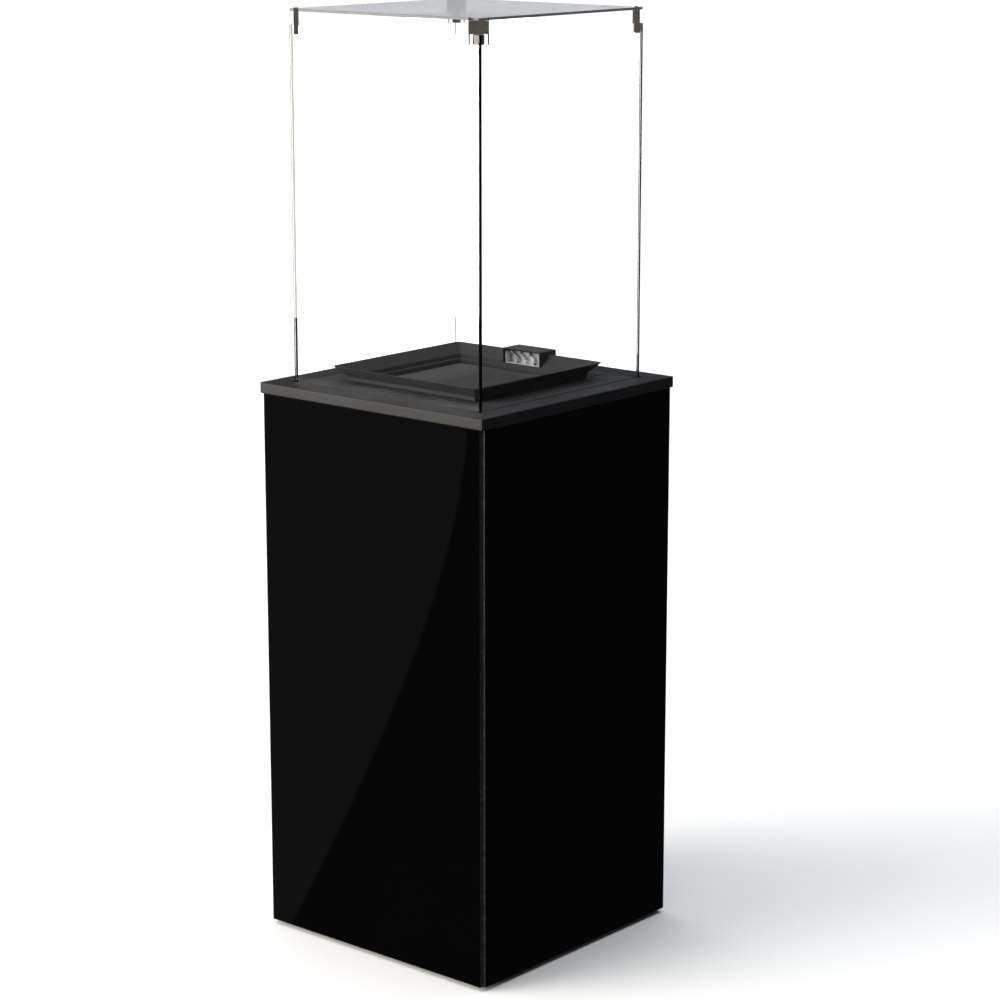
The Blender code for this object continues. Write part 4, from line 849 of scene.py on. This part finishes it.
low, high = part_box("door_glass_panel")
lock_low, lock_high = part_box("lock_housing")
lock_x, lock_z = (lock_low.x + lock_high.x) / 2, (lock_low.z + lock_high.z) / 2
mesh = glass_edges(plate("door_glass", low, high, "Y", holes=[(lock_x, lock_z, 0.0083)]), "Y")
face = ease(show("door_cladding_glass", mesh, black_glass, ground_edge), 0.0005)
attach(face, "door")
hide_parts("door_glass_panel")
pan = ease(show("door_pan_primed", whole("door_pan"), primed_steel), 0.0005)
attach(pan, "door")
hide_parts("door_pan")
for level in ("lower", "upper"):
    for part, body in (("fixed_leaf", "cabinet"), ("door_leaf", "door")):
        leaf = ease(show(f"{level}_{part}", whole(f"{level}_hinge_{part}"), polished_steel), 0.0002, 1)
        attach(leaf, body)
        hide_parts(f"{level}_hinge_{part}")

centre = (lock_x, 0, lock_z)
barrel, rim_radius, bore = 0.008, (lock_high.x - lock_low.x) / 2, 0.0063
face_y, out_y, in_y = 0.2368, lock_high.y, lock_low.y
thread = np.linspace(in_y + 0.0008, face_y - 0.001, 26)
threads = np.column_stack([barrel - 0.00035 * (np.arange(26) % 2), thread])
rows = [
    (bore, in_y), (barrel - 0.0004, in_y), *threads, (barrel, face_y), (rim_radius, face_y),
    (rim_radius, face_y + 0.0004), (rim_radius - 0.0008, out_y), (bore + 0.0006, out_y),
    (bore, out_y - 0.0005),
]
housing = show("lock_shell", turned("lock_shell", rows, centre, "Y", 48, "ring"), polished_steel)
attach(housing, "door")
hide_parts("lock_housing")
low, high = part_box("lock_nut")
nut_bore, nut_face, nut_flat, chamfer = 0.0083, 0.0098, 0.0103, 0.0006
rows = [
    (nut_bore, low.y), (nut_face, low.y), (nut_flat, low.y + chamfer), (nut_flat, high.y - chamfer),
    (nut_face, high.y), (nut_bore, high.y),
]
nut_mesh = turned("lock_nut", rows, centre, "Y", 48, "ring", (0, 0.3, 0.6, 0.6, 0.3, 0))
nut = show("lock_ring_nut", nut_mesh, zinc_plate)
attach(nut, "door")
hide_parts("lock_nut")
low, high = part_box("lock_plug")
radius = (high.x - low.x) / 2
rows = [(0.0, low.y), (radius, low.y), (radius, high.y), (0.0, high.y)]
rows = eased(rows, (0, 0.0004, 0.0005, 0), closed=False)
slot_half, slot_reach, slot_floor, slot_mouth = 0.0006, 0.0035, high.y - 0.002, high.y + 0.001
key_slot = block(
    (lock_x - slot_half, slot_floor, lock_z - slot_reach),
    (lock_x + slot_half, slot_mouth, lock_z + slot_reach),
)
pin_hole = drill(0.0013, slot_floor, slot_mouth, centre, "Y", 20)
plug_mesh = cut(turned("lock_plug", rows, centre, "Y", 40), key_slot, pin_hole)
plug = ease(show("lock_key_plug", plug_mesh, polished_steel), 0.0002, 1)
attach(plug, "door_lock")
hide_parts("lock_plug")
low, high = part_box("lock_cam")
half = (high.x - low.x) / 2
turn = np.pi * np.arange(17) / 16
top_end = np.stack([lock_x + half * np.cos(turn), lock_z + half * np.sin(turn)], -1)
taper = half * 0.75
tail = [(lock_x - half, lock_z), (lock_x - taper, low.z), (lock_x + taper, low.z), (lock_x + half, lock_z)]
tail = eased(tail, 0.003, 4, closed=False)
cam_mesh = cut_sheet("lock_cam", [np.concatenate([top_end[:-1], tail])], low.y, high.y, "Y")
cam = ease(show("lock_cam_arm", outward(cam_mesh, 1e-6), zinc_plate), 0.0004)
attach(cam, "door_lock")
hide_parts("lock_cam")

# ---- gas train
# The valve, its knob, the hose nozzle and the burner pipe sit on a zinc hanger plate under the tray.

shelf = ease(show("hanger_plate", whole("valve_shelf"), zinc_sheet), 0.0006)
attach(shelf, "cabinet")
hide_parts("valve_shelf")


def rounded_block(name, low, high, corner, edge, steps=4):
    """A block whose plan is a rounded rectangle and whose top and bottom edges are rounded too: outline i is
    drawn in by edge (1 - sin a) and stands edge (1 - cos a) from its end."""
    low, high = np.asarray(low, float), np.asarray(high, float)
    a = np.pi / 2 * np.arange(steps + 1) / steps
    inset = np.concatenate([edge * (1 - np.sin(a)), edge * (1 - np.sin(a[::-1]))])
    level = np.concatenate([low[2] + edge * (1 - np.cos(a)), high[2] - edge * (1 - np.cos(a[::-1]))])
    rings = []
    for draw, z in zip(inset, level):
        (x0, y0), (x1, y1) = low[:2] + draw, high[:2] - draw
        plan = eased([(x0, y0), (x1, y0), (x1, y1), (x0, y1)], max(corner - draw, edge * 0.2), steps)
        rings.append(np.column_stack([plan, np.full(len(plan), z)]))
    return skin(name, rings)


cast_zinc = finish(
    "cast_zinc", (0.34, 0.34, 0.35), (0.50, 0.50, 0.51), (0.38, 0.55), 0.9,
    fine=420.0, broad=60.0, depth=0.00008, wear_and_highlight=(0.66, 0.66, 0.67), wear_and_highlight_amount=0.4
)
low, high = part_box("gas_valve")
core_inset, foot_height, seam_level, seam_height = 0.002, 0.006, 0.024, 0.004
core_low = (low.x + core_inset, low.y + core_inset, low.z)
core_high = (high.x - core_inset, high.y - core_inset, high.z)
seam_low, seam_high = (low.x, low.y, low.z + seam_level), (high.x, high.y, low.z + seam_level + seam_height)
parts = [
    rounded_block("valve_core", core_low, core_high, 0.004, 0.0015),
    rounded_block("valve_foot", low, (high.x, high.y, low.z + foot_height), 0.003, 0.0008),
    rounded_block("valve_seam", seam_low, seam_high, 0.004, 0.0008),
]
valve = show("valve_casting", joined("valve_casting", parts), cast_zinc)
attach(valve, "cabinet")
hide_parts("gas_valve")

moulded_black = finish(
    "moulded_black", (0.016, 0.016, 0.017), (0.026, 0.026, 0.027), (0.42, 0.55),
    fine=1600.0, broad=25.0, depth=0.00005, wear_and_highlight=(0.06, 0.06, 0.06), wear_and_highlight_amount=0.4
)
low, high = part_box("valve_knob")
knob_centre = ((low.x + high.x) / 2, 0, (low.z + high.z) / 2)
radius = (high.x - low.x) / 2
# Sixteen ribs run along the grip: the radius is drawn in by depth (1 + cos 16t) / 2.
steps, rib_count = 96, 16
t = 2 * np.pi * np.arange(steps) / steps
ribs = 0.5 + 0.5 * np.cos(t * rib_count)
grip = np.array([
    (0.0, low.y), (radius - 0.0012, low.y), (radius, low.y + 0.001), (radius, low.y + 0.0035),
    (radius - 0.0004, low.y + 0.004), (radius - 0.0004, high.y - 0.0022), (radius - 0.0010, high.y - 0.0008),
    (radius - 0.0022, high.y), (0.0, high.y),
])
depth = np.array([0, 0, 0, 0, 1, 1, 0.6, 0, 0]) * 0.0012
spoke = grip[:, :1] - depth[:, None] * ribs[None]
along = np.broadcast_to(grip[:, 1:], spoke.shape)
rings = np.stack([spoke * np.cos(t), along, spoke * np.sin(t)], -1) + np.array(knob_centre)
mark_half, mark_start, mark_stop = 0.001, 0.003, 0.0125
mark = block(
    (knob_centre[0] - mark_half, high.y - 0.0006, knob_centre[2] + mark_start),
    (knob_centre[0] + mark_half, high.y + 0.001, knob_centre[2] + mark_stop),
)
knob = show("ribbed_knob", cut(skin("knob", rings), mark), moulded_black)
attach(knob, "gas_knob")
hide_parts("valve_knob")

machined_brass = finish(
    "machined_brass", (0.55, 0.38, 0.15), (0.72, 0.54, 0.25), (0.18, 0.32), 1.0,
    fine=500.0, broad=50.0, depth=0.00001, wear_and_highlight=(0.85, 0.68, 0.38), wear_and_highlight_amount=0.4
)
low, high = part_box("gas_inlet")
axis_point = (0, (low.y + high.y) / 2, (low.z + high.z) / 2)
root = high.x
hose_bore, neck_radius, collar, barbs = 0.003, 0.0045, 0.0070, 3
rows = [
    (hose_bore, root), (collar, root), (collar, root - 0.0005), (collar, root - 0.0095),
    (0.0062, root - 0.010), (neck_radius, root - 0.0102),
]
for k in range(barbs):
    back = root - 0.012 - 0.006 * k
    rows += [(neck_radius, back + 0.0002), (0.0055, back - 0.0003), (0.0053, back - 0.0012)]
    rows += [(neck_radius, back - 0.005)]
rows += [(neck_radius, low.x + 0.0004), (0.0041, low.x), (hose_bore, low.x)]
inlet = show("hose_nozzle", turned("hose_nozzle", rows, axis_point, "X", 48, "ring"), machined_brass)
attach(inlet, "cabinet")
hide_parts("gas_inlet")

drawn_copper = finish(
    "drawn_copper", (0.50, 0.24, 0.14), (0.72, 0.40, 0.26), (0.20, 0.36), 1.0,
    fine=400.0, broad=35.0, depth=0.00001, wear_and_highlight=(0.80, 0.50, 0.34), wear_and_highlight_amount=0.3
)
low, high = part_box("main_gas_pipe")
pipe_centre = ((low.x + high.x) / 2, (low.y + high.y) / 2, 0)
nut_size, tube, across = 0.009, 0.0060, 0.0088
nut_top, nut_foot = low.z + nut_size, high.z - nut_size
rows = [
    (0.0, low.z), (0.0085, low.z), (across, low.z + 0.0006), (across, nut_top - 0.001), (0.0080, nut_top),
    (tube, nut_top), (tube, nut_foot), (0.0080, nut_foot), (across, nut_foot + 0.001),
    (across, high.z - 0.0006), (0.0085, high.z), (0.0, high.z),
]
hexed = (0, 0.6, 1, 1, 0.6, 0, 0, 0.6, 1, 1, 0.6, 0)
pipe_mesh = turned("burner_pipe", rows, pipe_centre, "Z", 48, "capped", hexed)
pipe = show("burner_pipe", pipe_mesh, drawn_copper)
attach(pipe, "cabinet")
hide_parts("main_gas_pipe")

# ---- control box
# A moulded receiver in two halves, with a ribbed battery cover that slides off and a small switch.

low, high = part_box("control_box")
middle = (low.z + high.z) / 2
seam_half, core_inset = 0.0004, 0.001
lower_top, upper_foot = (high.x, high.y, middle - seam_half), (low.x, low.y, middle + seam_half)
core_low = (low.x + core_inset, low.y + core_inset, low.z + 2 * core_inset)
core_high = (high.x - core_inset, high.y - core_inset, high.z - 2 * core_inset)
rib_low = (low.x + 0.012, low.y + 0.006, high.z - 0.001)
rib_high = (low.x + 0.014, low.y + 0.024, high.z)
parts = [
    rounded_block("box_lower", low, lower_top, 0.003, 0.0012),
    rounded_block("box_upper", upper_foot, high, 0.003, 0.0012),
    rounded_block("box_core", core_low, core_high, 0.003, 0.001),
    rounded_block("top_rib", rib_low, rib_high, 0.0006, 0.0003),
]
box = show("receiver_case", joined("receiver_case", parts), moulded_black)
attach(box, "cabinet")
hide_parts("control_box")


def faced_plate(name, low, high, ridges, along, inset, pitch, rise):
    """A thin cover with rounded edges, facing +Y, with ridges across it. It is built lying down, with its
    depth as minus its height, and then stood up: (x, z, -y) becomes (x, y, z)."""
    low, high = np.asarray(low, float), np.asarray(high, float)
    front = -high[1]
    back_low, back_high = (low[0], low[2], front + rise), (high[0], high[2], -low[1])
    shapes = [rounded_block(name, back_low, back_high, 0.0015, 0.0003)]
    for k in range(ridges):
        at = along + pitch * k
        ridge_low = (at, low[2] + inset, front)
        ridge_high = (at + pitch * 0.5, high[2] - inset, front + rise * 2)
        shapes.append(rounded_block("ridge", ridge_low, ridge_high, 0.0003, rise * 0.8, 2))
    mesh = joined(name, shapes)
    spots = np.zeros(len(mesh.vertices) * 3)
    mesh.vertices.foreach_get("co", spots)
    x, z, y = spots.reshape(-1, 3).T
    mesh.vertices.foreach_set("co", np.stack([x, -y, z], -1).ravel())
    return outward(mesh)


for node, body, name, ridges, inset, pitch, rise in (
    ("battery_cover", "battery_slide", "battery_door", 8, 0.004, 0.0024, 0.0004),
    ("mode_switch", "mode_slide", "mode_slider", 4, 0.0008, 0.0016, 0.0008),
):
    low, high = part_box(node)
    first = low.x + 0.004 if node == "battery_cover" else (low.x + high.x) / 2 - 0.0028
    piece = show(name, faced_plate(name, low, high, ridges, first, inset, pitch, rise), moulded_black)
    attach(piece, body)
    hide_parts(node)

# ---- leads
# The pilot's copper pipe, the thermocouple's thin copper lead and the spark lead in black sleeving.

leads = {
    "pilot_pipe": (drawn_copper, "copper"), "thermocouple_lead": (drawn_copper, "copper"),
    "ignition_lead": (rubber_black, "black_plastic"),
}
for node, (surface, slot) in leads.items():
    lead = show(f"{node}_run", whole(node), surface, angle=60)
    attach(lead, "cabinet")
    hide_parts(node)
